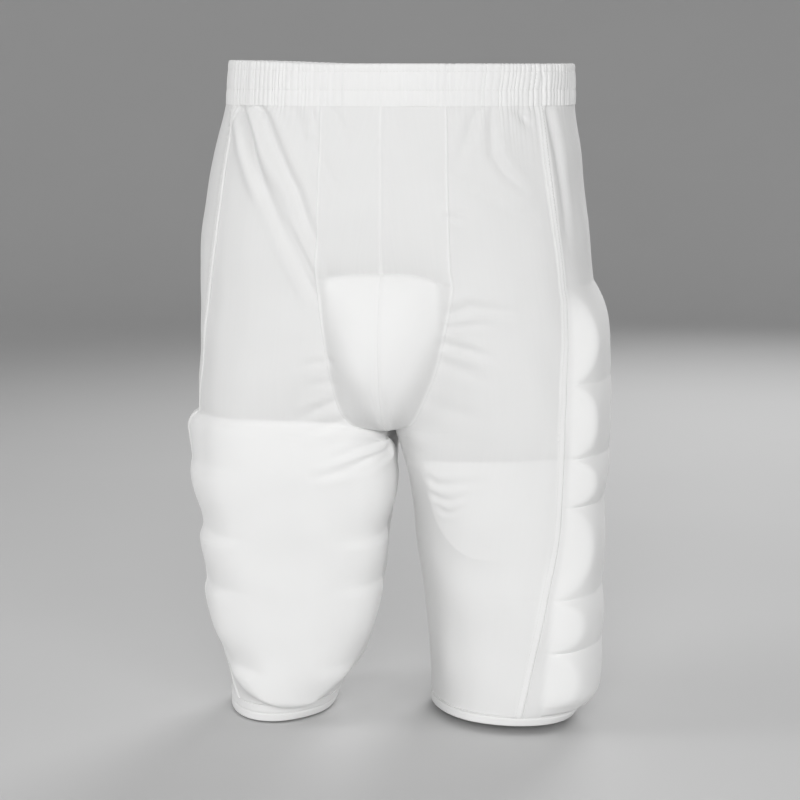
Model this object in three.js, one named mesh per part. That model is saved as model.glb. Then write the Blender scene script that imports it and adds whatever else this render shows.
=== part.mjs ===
// Padded protective shorts for sport, in the form they keep when worn: a knitted shell sewn from
// panels, a gathered elastic waistband, turned leg hems, and foam pads that sit behind the cloth
// and push it out over the cup, the right thigh and the left hip and thigh.
//
// Millimetres. +Z is up, -Y is the front, and the wearer's right leg is on the -X side.
// The origin is the middle of the waist opening, half way up the waistband.

import * as THREE from "three";

// Driving dimensions
const CLOTH = 2; // wall of the knitted shell
const SEAM_GAP = 0.8; // clearance between two panels that are sewn together
const PAD_GAP = 2.5; // clearance between a pad and the cloth in front of it
const BAND_TOP = 18;
const BAND_BOTTOM = -18;
const HEM_TOP = -535;
const HEM_BOTTOM = { right: -550, left: -544 };
const CROTCH = -297; // height where the two legs part

// Sections of the shell, each drawn for one half and mirrored for the right one: a superellipse from
// inner to outer across the body and from front to back, widest at middle, with square as the power
// that flattens its sides. In the trunk the two halves are one: the body's middle plane cuts each at
// cut, from 0 at its widest to 1 at its inner end, and web rounds the cloth that bridges the legs.
const TRUNK_SECTIONS = [
  { z: 18, right: 150, left: 147, cut: 0, front: -109, back: 106, middle: 2, square: 2.2, web: 0 },
  { z: -18, right: 153, left: 149, cut: 0, front: -111, back: 108, middle: 2, square: 2.2, web: 0 },
  { z: -60, right: 162, left: 156, cut: 0, front: -114, back: 115, middle: 3, square: 2.25, web: 0 },
  { z: -105, right: 170, left: 161, cut: 0, front: -115, back: 124, middle: 4, square: 2.3, web: 0 },
  { z: -150, right: 175, left: 166, cut: 0, front: -114, back: 131, middle: 5, square: 2.35, web: 4 },
  { z: -190, right: 175, left: 170, cut: 0.08, front: -111, back: 133, middle: 6, square: 2.4, web: 12 },
  { z: -225, right: 176, left: 171, cut: 0.29, front: -107, back: 130, middle: 7, square: 2.4, web: 17 },
  { z: -255, right: 177, left: 172, cut: 0.553, front: -103, back: 123, middle: 8, square: 2.4, web: 15 },
  { z: -280, right: 177, left: 172, cut: 0.824, front: -99, back: 114, middle: 8, square: 2.35, web: 9 },
];
const RIGHT_LEG_SECTIONS = [
  { z: -297, outer: 176, inner: 5.4, front: -96, back: 107, middle: 8, square: 2.3, web: 5 },
  { z: -333, outer: 173, inner: 5, front: -92, back: 99, middle: 6, square: 2.25, web: 2 },
  { z: -387, outer: 169, inner: 10, front: -86, back: 92, middle: 4, square: 2.2, web: 0 },
  { z: -441, outer: 165, inner: 16.5, front: -81, back: 86, middle: 3, square: 2.2, web: 0 },
  { z: -470, outer: 161, inner: 23, front: -79, back: 83, middle: 2, square: 2.15, web: 0 },
  { z: -500, outer: 155, inner: 31, front: -77, back: 80, middle: 2, square: 2.1, web: 0 },
  { z: -526, outer: 151, inner: 50, front: -75, back: 77, middle: 1, square: 2.05, web: 0 },
  { z: -550, outer: 151, inner: 59, front: -73, back: 75, middle: 0, square: 2, web: 0 },
];
const LEFT_LEG_SECTIONS = [
  { z: -297, outer: 172, inner: 5.4, front: -96, back: 107, middle: 8, square: 2.3, web: 5 },
  { z: -333, outer: 170, inner: 11, front: -92, back: 99, middle: 7, square: 2.25, web: 2 },
  { z: -387, outer: 168, inner: 15, front: -87, back: 92, middle: 6, square: 2.2, web: 0 },
  { z: -441, outer: 168, inner: 21, front: -83, back: 86, middle: 5, square: 2.15, web: 0 },
  { z: -495, outer: 168, inner: 26, front: -79, back: 81, middle: 4, square: 2.1, web: 0 },
  { z: -535, outer: 164, inner: 28, front: -76, back: 77, middle: 3, square: 2.05, web: 0 },
  { z: -544, outer: 159, inner: 28, front: -75, back: 76, middle: 3, square: 2.05, web: 0 },
];

// Seams, as how far from the body's middle plane each one runs. gusset edges the front crotch panel,
// and the side panel lies between side_front and side_back.
const RIGHT_SEAMS = [
  { z: -18, gusset: 51, side_front: 131, side_back: 120 },
  { z: -56, gusset: 52, side_front: 137, side_back: 128 },
  { z: -93, gusset: 53, side_front: 142, side_back: 134 },
  { z: -155, gusset: 55, side_front: 152, side_back: 147 },
  { z: -178, gusset: 53, side_front: 156, side_back: 149 },
  { z: -218, gusset: 48, side_front: 161, side_back: 152 },
  { z: -254, gusset: 42, side_front: 165, side_back: 152 },
  { z: -273, gusset: 36, side_front: 166, side_back: 151 },
  { z: -284, gusset: 26, side_front: 166, side_back: 151 },
  { z: -291, gusset: 16, side_front: 166, side_back: 151 },
  { z: -296.5, gusset: 4, side_front: 166, side_back: 151 },
  { z: -420, gusset: 4, side_front: 160, side_back: 146 },
  { z: -490, gusset: 4, side_front: 148, side_back: 140 },
  { z: -550, gusset: 4, side_front: 128, side_back: 134 },
];
const LEFT_SEAMS = [
  { z: -18, gusset: 54, side_front: 128, side_back: 120 },
  { z: -93, gusset: 56, side_front: 138, side_back: 132 },
  { z: -148, gusset: 58, side_front: 146, side_back: 142 },
  { z: -165, gusset: 60, side_front: 148, side_back: 144 },
  { z: -182, gusset: 58, side_front: 150, side_back: 146 },
  { z: -205, gusset: 53, side_front: 150, side_back: 148 },
  { z: -231, gusset: 47, side_front: 150, side_back: 149 },
  { z: -259, gusset: 36, side_front: 150, side_back: 149 },
  { z: -281, gusset: 24, side_front: 149, side_back: 148 },
  { z: -296.5, gusset: 4, side_front: 149, side_back: 148 },
  { z: -364, gusset: 4, side_front: 147, side_back: 146 },
  { z: -434, gusset: 4, side_front: 137, side_back: 146 },
  { z: -486, gusset: 4, side_front: 127, side_back: 144 },
  { z: -544, gusset: 4, side_front: 115, side_back: 134 },
];

// Foam pads. lift is how far a pad pushes the cloth out, fill the share of that lift that is foam,
// base how far the foam reaches in behind the shell's own line, edge the width of the rounded border
// that the cloth makes over it, and inset how far the foam stops short of that border. rows and
// columns count the cells of its mesh.
const CUP_PAD = {
  top: -155, bottom: -291, to_seam: 3,
  lift: 24, fill: 0.85, base: 4, edge: 34, top_edge: 24, inset: 10, rows: 7, columns: 10,
};
const THIGH_PAD = {
  top: -280, tip: -536,
  lift: 11, fill: 0.65, base: 5, edge: 16, top_edge: 10, inset: 18, rows: 3, columns: 11,
};
const THIGH_PAD_OUTLINE = [
  { z: -280, centre: 84, inner: 48, outer: 126 },
  { z: -302, centre: 84, inner: 84, outer: 126 },
  { z: -333, centre: 83, inner: 104, outer: 124 },
  { z: -387, centre: 82, inner: 108, outer: 120 },
  { z: -441, centre: 82, inner: 98, outer: 112 },
  { z: -470, centre: 82, inner: 84, outer: 100 },
  { z: -497, centre: 82, inner: 62, outer: 78 },
  { z: -515, centre: 83, inner: 42, outer: 56 },
  { z: -527, centre: 84, inner: 26, outer: 36 },
  { z: -536, centre: 84, inner: 8, outer: 10 },
];
const THIGH_GROOVES = { heights: [-330, -386, -434, -493], depth: 0.35, half: 8, reach: 0.35 };
const SIDE_PAD = {
  top: -180, bottom: -533, from_seam: 4, width: 112,
  lift: 13, fill: 0.73, base: 5, edge: 18, inset: 16, rows: 4, columns: 7,
};
const SIDE_PAD_BLOCKS = [
  { top: -197, bottom: -249 },
  { top: -249, bottom: -311 },
  { top: -311, bottom: -352 },
  { top: -352, bottom: -431 },
  { top: -431, bottom: -477 },
  { top: -477, bottom: -523 },
];
const SIDE_GROOVES = { depth: 0.3, half: 7 };
const BLOCK_GAP = 5; // clearance between two neighbouring blocks of the side pad
const BLOCK_ROUNDING = 6; // power that rounds a block towards its top and bottom
const FRONT_PAD = {
  top: -308, centre: 100, centre_z: -321, radius: 76, to_seam: 6,
  lift: 4, fill: 0.8, base: 4, edge: 10, seam_edge: 20, inset: 4, rows: 7, columns: 8,
};

// Long dents that the cloth takes below the waistband and at the crotch, as straight valleys seen
// from the front. across is measured from the middle plane.
const RIGHT_DENTS = [
  { across: 126, top: -18, to_across: 98, bottom: -90, depth: 6, half: 11 },
  { across: 98, top: -90, to_across: 55, bottom: -175, depth: 3.5, half: 11 },
  { across: 108, top: -18, to_across: 71, bottom: -85, depth: 5, half: 10 },
  { across: 71, top: -85, to_across: 55, bottom: -126, depth: 3, half: 9 },
  { across: 42, top: -262, to_across: 73, bottom: -276, depth: 2.5, half: 7 },
  { across: 0, top: -150, to_across: 48, bottom: -150, depth: 4, half: 17 },
];
const LEFT_DENTS = [
  { across: 89, top: -18, to_across: 91, bottom: -56, depth: 3, half: 9 },
  { across: 91, top: -56, to_across: 112, bottom: -83, depth: 3, half: 9 },
  { across: 57, top: -72, to_across: 120, bottom: -107, depth: 2, half: 11 },
  { across: 60, top: -184, to_across: 116, bottom: -186, depth: 3, half: 8 },
  { across: 55, top: -212, to_across: 93, bottom: -222, depth: 2.5, half: 8 },
  { across: 0, top: -150, to_across: 52, bottom: -150, depth: 4, half: 17 },
];

// Rows of the mesh down the shell, closer together where it bends more.
const SHELL_ROWS = [
  BAND_BOTTOM - SEAM_GAP, -42, -70, -100, -130, -155, -165, -180, -205, -230, -249, -265, -280, -286,
  -292, -296.5, -300, -311, -330, -341, -352, -369, -386, -410, -434, -455, -477, -493, -508, -522,
  HEM_TOP + SEAM_GAP,
];
const GUSSET_COLUMNS = 4;
const FRONT_COLUMNS = 11;
const SIDE_COLUMNS = 6;
const BACK_COLUMNS = 6;
const SECTION_SAMPLES = 360;
const STEP = 0.05; // spacing of the differences that give a surface its normal
const MIDDLE_BLEND = 14; // this near the body's middle plane, normals turn to lie along it

// Value of one column of a table at a height, by a cubic that never overshoots its rows.
function columnOf(table, column) {
  const rows = [...table].sort((a, b) => a.z - b.z);
  const z = rows.map((row) => row.z);
  const value = rows.map((row) => row[column]);
  const rise = z.slice(1).map((next, i) => (value[i + 1] - value[i]) / (next - z[i]));
  const slope = value.map((_, i) => {
    if (i === 0) return rise[0];
    if (i === value.length - 1) return rise[i - 1];
    const product = rise[i - 1] * rise[i];
    return product <= 0 ? 0 : (2 * product) / (rise[i - 1] + rise[i]);
  });
  return (height) => {
    const at = THREE.MathUtils.clamp(height, z[0], z[z.length - 1]);
    let i = 0;
    while (i < z.length - 2 && at > z[i + 1]) i += 1;
    const span = z[i + 1] - z[i];
    const t = (at - z[i]) / span;
    const back = 1 - t;
    return (
      back * back * (1 + 2 * t) * value[i] +
      t * t * (3 - 2 * t) * value[i + 1] +
      span * t * back * (back * slope[i] - t * slope[i + 1])
    );
  };
}

function columnsOf(table) {
  const names = Object.keys(table[0]).filter((name) => name !== "z");
  const columns = names.map((name) => [name, columnOf(table, name)]);
  return (height) => Object.fromEntries(columns.map(([name, column]) => [name, column(height)]));
}

// One half of the shorts, with its sections and seams as functions of height.
function makeSide(label, sign, legSections, seams, dents) {
  const trunk = TRUNK_SECTIONS.map(({ right, left, cut, ...section }) => {
    const outer = { right, left }[label];
    return { ...section, outer, inner: outer - (2 * (outer - section.web)) / (1 + cut) };
  });
  const sizes = columnsOf([...trunk, ...legSections]);
  return { label, sign, dents, sizes, seams: columnsOf(seams), cache: new Map() };
}

const RIGHT = makeSide("right", -1, RIGHT_LEG_SECTIONS, RIGHT_SEAMS, RIGHT_DENTS);
const LEFT = makeSide("left", 1, LEFT_LEG_SECTIONS, LEFT_SEAMS, LEFT_DENTS);

const signedPower = (value, power) => Math.sign(value) * Math.abs(value) ** power;
const gauss = (distance, half) => Math.exp(-((distance / half) ** 2));
const roundEdge = (inside, edge) => {
  const t = THREE.MathUtils.clamp(inside / edge, 0, 1);
  return Math.sqrt(t * (2 - t));
};
const dome = (q, power) => Math.max(0, 1 - Math.abs(q) ** power) ** 0.5;

// The half section at a height, from the front middle or the inseam, round the outer side, to the
// back middle or the inseam again, as points with their distance along the cloth.
function sectionAt(side, z) {
  if (side.cache.has(z)) return side.cache.get(z);
  const { outer, inner, front, back, middle, square, web } = side.sizes(z);
  const centre = (outer + inner) / 2;
  const reach = (outer - inner) / 2;
  const joined = (centre - web) / reach;
  const start = joined >= 1 ? 0 : Math.acos(signedPower(joined, square / 2));
  const points = [];
  let along = 0;
  for (let i = 0; i <= SECTION_SAMPLES; i += 1) {
    const angle = start + ((2 * Math.PI - 2 * start) * i) / SECTION_SAMPLES;
    const soft = centre - reach * signedPower(Math.cos(angle), 2 / square);
    const depth = -signedPower(Math.sin(angle), 2 / square);
    const x = Math.sqrt(Math.max(0, soft * soft - web * web));
    const y = middle + depth * (depth < 0 ? middle - front : back - middle);
    const last = points[i - 1];
    if (last) along += Math.hypot(x - last.x, y - last.y);
    points.push({ x, y, along });
  }
  const widest = points.reduce((best, point, i) => (point.x > points[best].x ? i : best), 0);
  const made = { points, widest, length: along };
  side.cache.set(z, made);
  return made;
}

// Distance along the section where it passes a given distance from the middle plane, in front or behind.
function alongAt(side, z, across, behind = false) {
  const { points, widest } = sectionAt(side, z);
  const run = behind ? points.slice(widest).reverse() : points.slice(0, widest + 1);
  const next = run.findIndex((point) => point.x >= across);
  if (next <= 0) return run[next < 0 ? run.length - 1 : 0].along;
  const [a, b] = [run[next - 1], run[next]];
  return a.along + ((across - a.x) / (b.x - a.x)) * (b.along - a.along);
}

const SEAM_LINES = {
  centre_front: () => 0,
  gusset: (side, z) => (z > CROTCH ? alongAt(side, z, side.seams(z).gusset) : 0),
  side_front: (side, z) => alongAt(side, z, side.seams(z).side_front),
  side_back: (side, z) => alongAt(side, z, side.seams(z).side_back, true),
  centre_back: (side, z) => sectionAt(side, z).length,
};

// How far outside the shell's base form a point lies, as a level that is 1 on the form itself.
function level(side, x, y, z) {
  const { outer, inner, front, back, middle, square, web } = side.sizes(z);
  const across = (Math.hypot(x, web) - (outer + inner) / 2) / ((outer - inner) / 2);
  const depth = (y - middle) / (y < middle ? middle - front : back - middle);
  return Math.abs(across) ** square + Math.abs(depth) ** square;
}

// A place on the base form: its point, its outward normal and its coordinates on the cloth.
function placeAt(side, along, z) {
  const { points, widest, length } = sectionAt(side, z);
  const s = THREE.MathUtils.clamp(along, 0, length);
  let i = 1;
  while (i < points.length - 1 && points[i].along < s) i += 1;
  const [a, b] = [points[i - 1], points[i]];
  const t = (s - a.along) / (b.along - a.along);
  const x = a.x + t * (b.x - a.x);
  const y = a.y + t * (b.y - a.y);
  const slope = (dx, dy, dz) =>
    level(side, x + dx, y + dy, z + dz) - level(side, x - dx, y - dy, z - dz);
  const sideways = z > CROTCH ? THREE.MathUtils.smoothstep(x, 0, MIDDLE_BLEND) : 1;
  const normal = new THREE.Vector3(
    side.sign * sideways * slope(STEP, 0, 0), slope(0, STEP, 0), slope(0, 0, STEP),
  ).normalize();
  const inFront = s < points[widest].along;
  return { side, along: s, z, x, inFront, normal, point: new THREE.Vector3(side.sign * x, y, z) };
}

// Lift of the cloth over each pad
const thighOutline = columnsOf(THIGH_PAD_OUTLINE);

const cupHalf = (side, z) => SEAM_LINES.gusset(side, z) - CUP_PAD.to_seam;

function cupLift({ side, along, z }) {
  const { top, bottom, lift, edge, top_edge: topEdge } = CUP_PAD;
  if (z > top || z < bottom) return 0;
  const sideways = roundEdge(cupHalf(side, z) - along, edge);
  return lift * sideways * roundEdge(top - z, topEdge) * roundEdge(z - bottom, edge);
}

function thighLift({ side, along, z }) {
  const { top, tip, lift, edge, top_edge: topEdge } = THIGH_PAD;
  if (z > top || z < tip) return 0;
  const { centre, inner, outer } = thighOutline(z);
  const offset = along - alongAt(side, z, centre);
  const half = offset < 0 ? inner : outer;
  const share = Math.abs(offset) / half;
  if (share >= 1) return 0;
  const { heights, depth, half: grooveHalf, reach } = THIGH_GROOVES;
  const groove = Math.max(...heights.map((height) => gauss(z - height, grooveHalf)));
  const towardsEdge = THREE.MathUtils.smoothstep(share, reach, 1);
  const border = roundEdge(half * (1 - share), edge);
  const ends = roundEdge(top - z, topEdge) * roundEdge(z - tip, edge);
  return lift * border * ends * (1 - depth * groove * towardsEdge);
}

function sidePadMiddle(side, z) {
  return SEAM_LINES.side_front(side, z) + SIDE_PAD.from_seam + SIDE_PAD.width / 2;
}

function sideLift({ side, along, z }) {
  const { top, bottom, lift, edge, width } = SIDE_PAD;
  const within = width / 2 - Math.abs(along - sidePadMiddle(side, z));
  if (within <= 0 || z >= top || z <= bottom) return 0;
  const grooves = SIDE_PAD_BLOCKS.slice(1).map((block) => gauss(z - block.top, SIDE_GROOVES.half));
  const ends = roundEdge(top - z, edge) * roundEdge(z - bottom, edge);
  return lift * roundEdge(within, edge) * ends * (1 - SIDE_GROOVES.depth * Math.max(...grooves));
}

// Where the thin front pad begins: straight down its inner edge, then round an arc to its foot.
function frontPadStart(side, z) {
  const { centre, centre_z: centreZ, radius } = FRONT_PAD;
  const below = THREE.MathUtils.clamp(centreZ - z, 0, radius);
  return alongAt(side, z, centre - Math.sqrt(radius * radius - below * below));
}

function frontPadLift({ side, along, z, inFront }) {
  const { top, centre_z: centreZ, radius, lift, edge } = FRONT_PAD;
  const { to_seam: toSeam, seam_edge: seamEdge } = FRONT_PAD;
  const bottom = centreZ - radius;
  const inside = along - frontPadStart(side, z);
  const beforeSeam = SEAM_LINES.side_front(side, z) - toSeam - along;
  if (!inFront || z > top || z < bottom || inside <= 0 || beforeSeam <= 0) return 0;
  const sideways = roundEdge(inside, edge) * roundEdge(beforeSeam, seamEdge);
  return lift * sideways * roundEdge(top - z, edge) * roundEdge(z - bottom, edge);
}

const PAD_LIFTS = [
  { side: RIGHT, lift: cupLift },
  { side: LEFT, lift: cupLift },
  { side: RIGHT, lift: thighLift },
  { side: LEFT, lift: sideLift },
  { side: LEFT, lift: frontPadLift },
];

function dentDepth({ side, x, z, inFront }) {
  if (!inFront) return 0;
  const line = new THREE.Line3();
  const at = new THREE.Vector3(x, 0, z);
  const nearest = new THREE.Vector3();
  const depths = side.dents.map(({ across, top, to_across: toAcross, bottom, depth, half }) => {
    line.set(new THREE.Vector3(across, 0, top), new THREE.Vector3(toAcross, 0, bottom));
    line.closestPointToPoint(at, true, nearest);
    return depth * gauss(nearest.distanceTo(at), half);
  });
  return Math.max(0, ...depths);
}

function clothLift(place) {
  const lifts = PAD_LIFTS.filter((pad) => pad.side === place.side).map((pad) => pad.lift(place));
  return Math.max(0, ...lifts) - dentDepth(place);
}

const offset = ({ point, normal }, distance) => point.clone().addScaledVector(normal, distance);

// A closed solid between two grids of points that have the same rows and columns. A ring closes on
// itself along its rows.
function solidBetween(outer, inner, ring = false) {
  const rows = outer.length;
  const columns = outer[0].length;
  const positions = [...outer.flat(), ...inner.flat()].flatMap((point) => point.toArray());
  const indices = [];
  const at = (layer, i, j) => layer * rows * columns + i * columns + (j % columns);
  const quad = (a, b, c, d) => indices.push(a, b, c, a, c, d);
  const across = ring ? columns : columns - 1;
  for (let j = 0; j < across; j += 1) {
    for (let i = 0; i < rows - 1; i += 1) {
      quad(at(0, i, j), at(0, i + 1, j), at(0, i + 1, j + 1), at(0, i, j + 1));
      quad(at(1, i, j), at(1, i, j + 1), at(1, i + 1, j + 1), at(1, i + 1, j));
    }
    quad(at(0, 0, j), at(0, 0, j + 1), at(1, 0, j + 1), at(1, 0, j));
    const last = rows - 1;
    quad(at(0, last, j), at(1, last, j), at(1, last, j + 1), at(0, last, j + 1));
  }
  for (let i = 0; i < rows - 1 && !ring; i += 1) {
    quad(at(0, i, 0), at(1, i, 0), at(1, i + 1, 0), at(0, i + 1, 0));
    const last = columns - 1;
    quad(at(0, i, last), at(0, i + 1, last), at(1, i + 1, last), at(1, i, last));
  }
  const geometry = new THREE.BufferGeometry();
  geometry.setAttribute("position", new THREE.Float32BufferAttribute(positions, 3));
  geometry.setIndex(volumeOf(positions, indices) < 0 ? [...indices].reverse() : indices);
  geometry.computeVertexNormals();
  return geometry;
}

function volumeOf(positions, indices) {
  const corner = (k) => new THREE.Vector3().fromArray(positions, 3 * indices[k]);
  let sum = 0;
  for (let k = 0; k < indices.length; k += 3) {
    sum += corner(k).dot(corner(k + 1).cross(corner(k + 2)));
  }
  return sum / 6;
}

const range = (count) => Array.from({ length: count }, (_, i) => i);
const stepped = (from, to, count) => range(count + 1).map((i) => from + ((to - from) * i) / count);

// Shell panels
function panelGeometry(side, fromSeam, toSeam, columns, rows) {
  const grid = rows.map((z) => {
    const from = SEAM_LINES[fromSeam](side, z) + SEAM_GAP / 2;
    const to = SEAM_LINES[toSeam](side, z) - SEAM_GAP / 2;
    return range(columns + 1).map((j) => placeAt(side, from + ((to - from) * j) / columns, z));
  });
  const outer = grid.map((row) => row.map((place) => offset(place, clothLift(place))));
  const inner = grid.map((row) => row.map((place) => offset(place, clothLift(place) - CLOTH)));
  return solidBetween(outer, inner);
}

// Waistband: three puffed tunnels between rows of stitching, gathered into ribs all the way round.
const BAND = { wall: 4.5, puff: 2.2, ribs: 48, rib: 0.9 };
const BAND_ROWS = [
  { z: BAND_TOP, puff: 0.4 },
  { z: 10, puff: 0.1 },
  { z: 0, puff: 1 },
  { z: -9, puff: 0.1 },
  { z: BAND_BOTTOM, puff: 0.4 },
];

function loopPlace(turn, z) {
  const side = turn < 0.5 ? LEFT : RIGHT;
  const share = turn < 0.5 ? 2 * turn : 2 - 2 * turn;
  return placeAt(side, share * sectionAt(side, z).length, z);
}

function waistbandGeometry() {
  const columns = 2 * BAND.ribs;
  const outer = BAND_ROWS.map(({ z, puff }) =>
    range(columns).map((j) => {
      const rib = j % 2 === 0 ? BAND.rib : -BAND.rib;
      return offset(loopPlace(j / columns, z), BAND.puff * puff + rib * puff);
    }),
  );
  const inner = BAND_ROWS.map(({ z }) =>
    range(columns).map((j) => offset(loopPlace(j / columns, z), -BAND.wall)),
  );
  return solidBetween(outer, inner, true);
}

// Leg hem: the cloth turned up once, so it is thicker than the leg above it.
const HEM = { proud: 0.5, wall: 3, columns: 32 };

function hemGeometry(side) {
  const rows = stepped(HEM_TOP, HEM_BOTTOM[side.label], 2);
  const turn = (j, z) => placeAt(side, (j / HEM.columns) * sectionAt(side, z).length, z);
  const ringAt = (distance) =>
    rows.map((z) => range(HEM.columns).map((j) => offset(turn(j, z), distance)));
  return solidBetween(ringAt(HEM.proud), ringAt(HEM.proud - HEM.wall), true);
}

// Foam pads
function padGeometry({ fill, base, columns }, rows, placeOf, lift) {
  const grid = rows.map((z) => stepped(-1, 1, columns).map((q) => placeOf(q, z)));
  const behind = CLOTH + PAD_GAP;
  const outer = grid.map((row) => row.map((place) => offset(place, fill * lift(place) - behind)));
  const inner = grid.map((row) => row.map((place) => offset(place, -behind - base)));
  return solidBetween(outer, inner);
}

function cupPadGeometry() {
  const { top, bottom, inset } = CUP_PAD;
  const rows = stepped(top - inset, bottom + inset, CUP_PAD.rows);
  const placeOf = (q, z) => {
    const side = q < 0 ? RIGHT : LEFT;
    return placeAt(side, Math.abs(q) * Math.max(inset / 2, cupHalf(side, z) - inset), z);
  };
  return padGeometry(CUP_PAD, rows, placeOf, cupLift);
}

function thighPadGeometry() {
  const { top, tip, inset } = THIGH_PAD;
  const levels = [top - inset, ...THIGH_GROOVES.heights, tip + inset];
  const between = (z, i) => stepped(levels[i], z, THIGH_PAD.rows).slice(i ? 1 : 0);
  const rows = levels.slice(1).flatMap(between);
  const placeOf = (q, z) => {
    const { centre, inner, outer } = thighOutline(z);
    const half = Math.max(inset, (q < 0 ? inner : outer) - inset);
    return placeAt(RIGHT, alongAt(RIGHT, z, centre) + q * half, z);
  };
  return padGeometry(THIGH_PAD, rows, placeOf, thighLift);
}

function sideBlockGeometry({ top, bottom }) {
  const rows = stepped(top - BLOCK_GAP / 2, bottom + BLOCK_GAP / 2, SIDE_PAD.rows);
  const half = SIDE_PAD.width / 2 - SIDE_PAD.inset;
  const placeOf = (q, z) => placeAt(LEFT, sidePadMiddle(LEFT, z) + q * half, z);
  const rounding = (z) => dome((2 * z - top - bottom) / (top - bottom), BLOCK_ROUNDING);
  return padGeometry(SIDE_PAD, rows, placeOf, (place) => sideLift(place) * rounding(place.z));
}

function frontPadGeometry() {
  const { top, centre_z: centreZ, radius, inset, to_seam: toSeam } = FRONT_PAD;
  const rows = stepped(top - inset, centreZ - radius + inset, FRONT_PAD.rows);
  const placeOf = (q, z) => {
    const from = frontPadStart(LEFT, z) + inset;
    const to = SEAM_LINES.side_front(LEFT, z) - toSeam - inset;
    return placeAt(LEFT, from + ((to - from) * (q + 1)) / 2, z);
  };
  return padGeometry(FRONT_PAD, rows, placeOf, frontPadLift);
}

// Finishes
const knit = new THREE.MeshStandardMaterial({ color: 0xe9e9e8, roughness: 0.85, metalness: 0 });
const elastic = new THREE.MeshStandardMaterial({ color: 0xf0f0ef, roughness: 0.8, metalness: 0 });
const foam = new THREE.MeshStandardMaterial({ color: 0xe4e4e2, roughness: 0.95, metalness: 0 });

// Assembly
const shorts = new THREE.Group();

function addPiece(name, geometry, material) {
  const mesh = new THREE.Mesh(geometry, material);
  mesh.name = name;
  shorts.add(mesh);
}

addPiece("waistband", waistbandGeometry(), elastic);

const GUSSET_ROWS = SHELL_ROWS.filter((z) => z > CROTCH);
for (const side of [RIGHT, LEFT]) {
  const panel = (from, to, columns, rows = SHELL_ROWS) =>
    panelGeometry(side, from, to, columns, rows);
  addPiece(`gusset_${side.label}`, panel("centre_front", "gusset", GUSSET_COLUMNS, GUSSET_ROWS), knit);
  addPiece(`front_panel_${side.label}`, panel("gusset", "side_front", FRONT_COLUMNS), knit);
  addPiece(`side_panel_${side.label}`, panel("side_front", "side_back", SIDE_COLUMNS), knit);
  addPiece(`back_panel_${side.label}`, panel("side_back", "centre_back", BACK_COLUMNS), knit);
  addPiece(`hem_${side.label}`, hemGeometry(side), knit);
}

addPiece("cup_pad", cupPadGeometry(), foam);
addPiece("thigh_pad_right", thighPadGeometry(), foam);
addPiece("front_pad_left", frontPadGeometry(), foam);
SIDE_PAD_BLOCKS.forEach((block, i) => {
  addPiece(`side_pad_left_${i + 1}`, sideBlockGeometry(block), foam);
});

export default shorts;
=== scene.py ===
# Padded protective shorts in white knit, standing in the form they keep when worn: sewn panels that
# foam pads push out, a gathered elastic waistband, turned leg hems and rows of stitching.
import math
from types import SimpleNamespace

import bpy
import numpy as np
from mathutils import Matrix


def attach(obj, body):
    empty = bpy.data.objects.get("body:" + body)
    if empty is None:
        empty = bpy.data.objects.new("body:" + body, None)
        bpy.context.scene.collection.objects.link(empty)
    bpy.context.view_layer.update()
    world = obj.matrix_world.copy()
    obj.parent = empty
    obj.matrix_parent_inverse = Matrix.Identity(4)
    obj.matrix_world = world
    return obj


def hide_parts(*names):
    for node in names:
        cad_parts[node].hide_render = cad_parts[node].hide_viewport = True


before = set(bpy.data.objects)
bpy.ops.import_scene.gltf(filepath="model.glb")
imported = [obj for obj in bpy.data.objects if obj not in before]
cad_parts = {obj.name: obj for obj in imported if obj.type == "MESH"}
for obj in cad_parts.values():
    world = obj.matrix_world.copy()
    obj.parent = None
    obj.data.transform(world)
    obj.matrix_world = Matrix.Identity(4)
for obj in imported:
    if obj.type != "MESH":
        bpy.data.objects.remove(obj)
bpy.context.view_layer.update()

# Lengths are in millimetres until a mesh is made
MM = 0.001
CLOTH = 2.0
PANEL_GAP = 0.05
HEM_GAP = 0.1
BAND_TOP = 18.0
BAND_BOTTOM = -16.5
HEM_TOP = -535.0
HEM_BOTTOM = {"right": -550.0, "left": -544.0}
CROTCH = -297.0
ARCH = 14.0
ARCH_SAMPLES = 500
SECTION_SAMPLES = 720
NORMAL_STEP = 0.05
MIDDLE_BLEND = 14.0
GUSSET_TAPER = 13.0
GUSSET_TAPER_POWER = 0.6


# Curves, edges and short tables
def gauss(distance, half_width):
    return np.exp(-((distance / half_width) ** 2))


def smooth(value, low, high):
    t = np.clip((value - low) / (high - low), 0, 1)
    return t * t * (3 - 2 * t)


def round_edge(inside, edge):
    """Rise from a border as a quarter of an ellipse, steep where it starts."""
    t = np.clip(inside / edge, 0, 1)
    return np.sqrt(t * (2 - t))


def soft_edge(inside, edge):
    """Rise from a border as a parabola that levels out."""
    t = np.clip(inside / edge, 0, 1)
    return t * (2 - t)


def soft_least(first, second, width):
    """The lesser of two values, with the corner between them rounded."""
    return -width * np.logaddexp(-first / width, -second / width)


def signed_power(value, power):
    return np.sign(value) * np.abs(value) ** power


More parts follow.
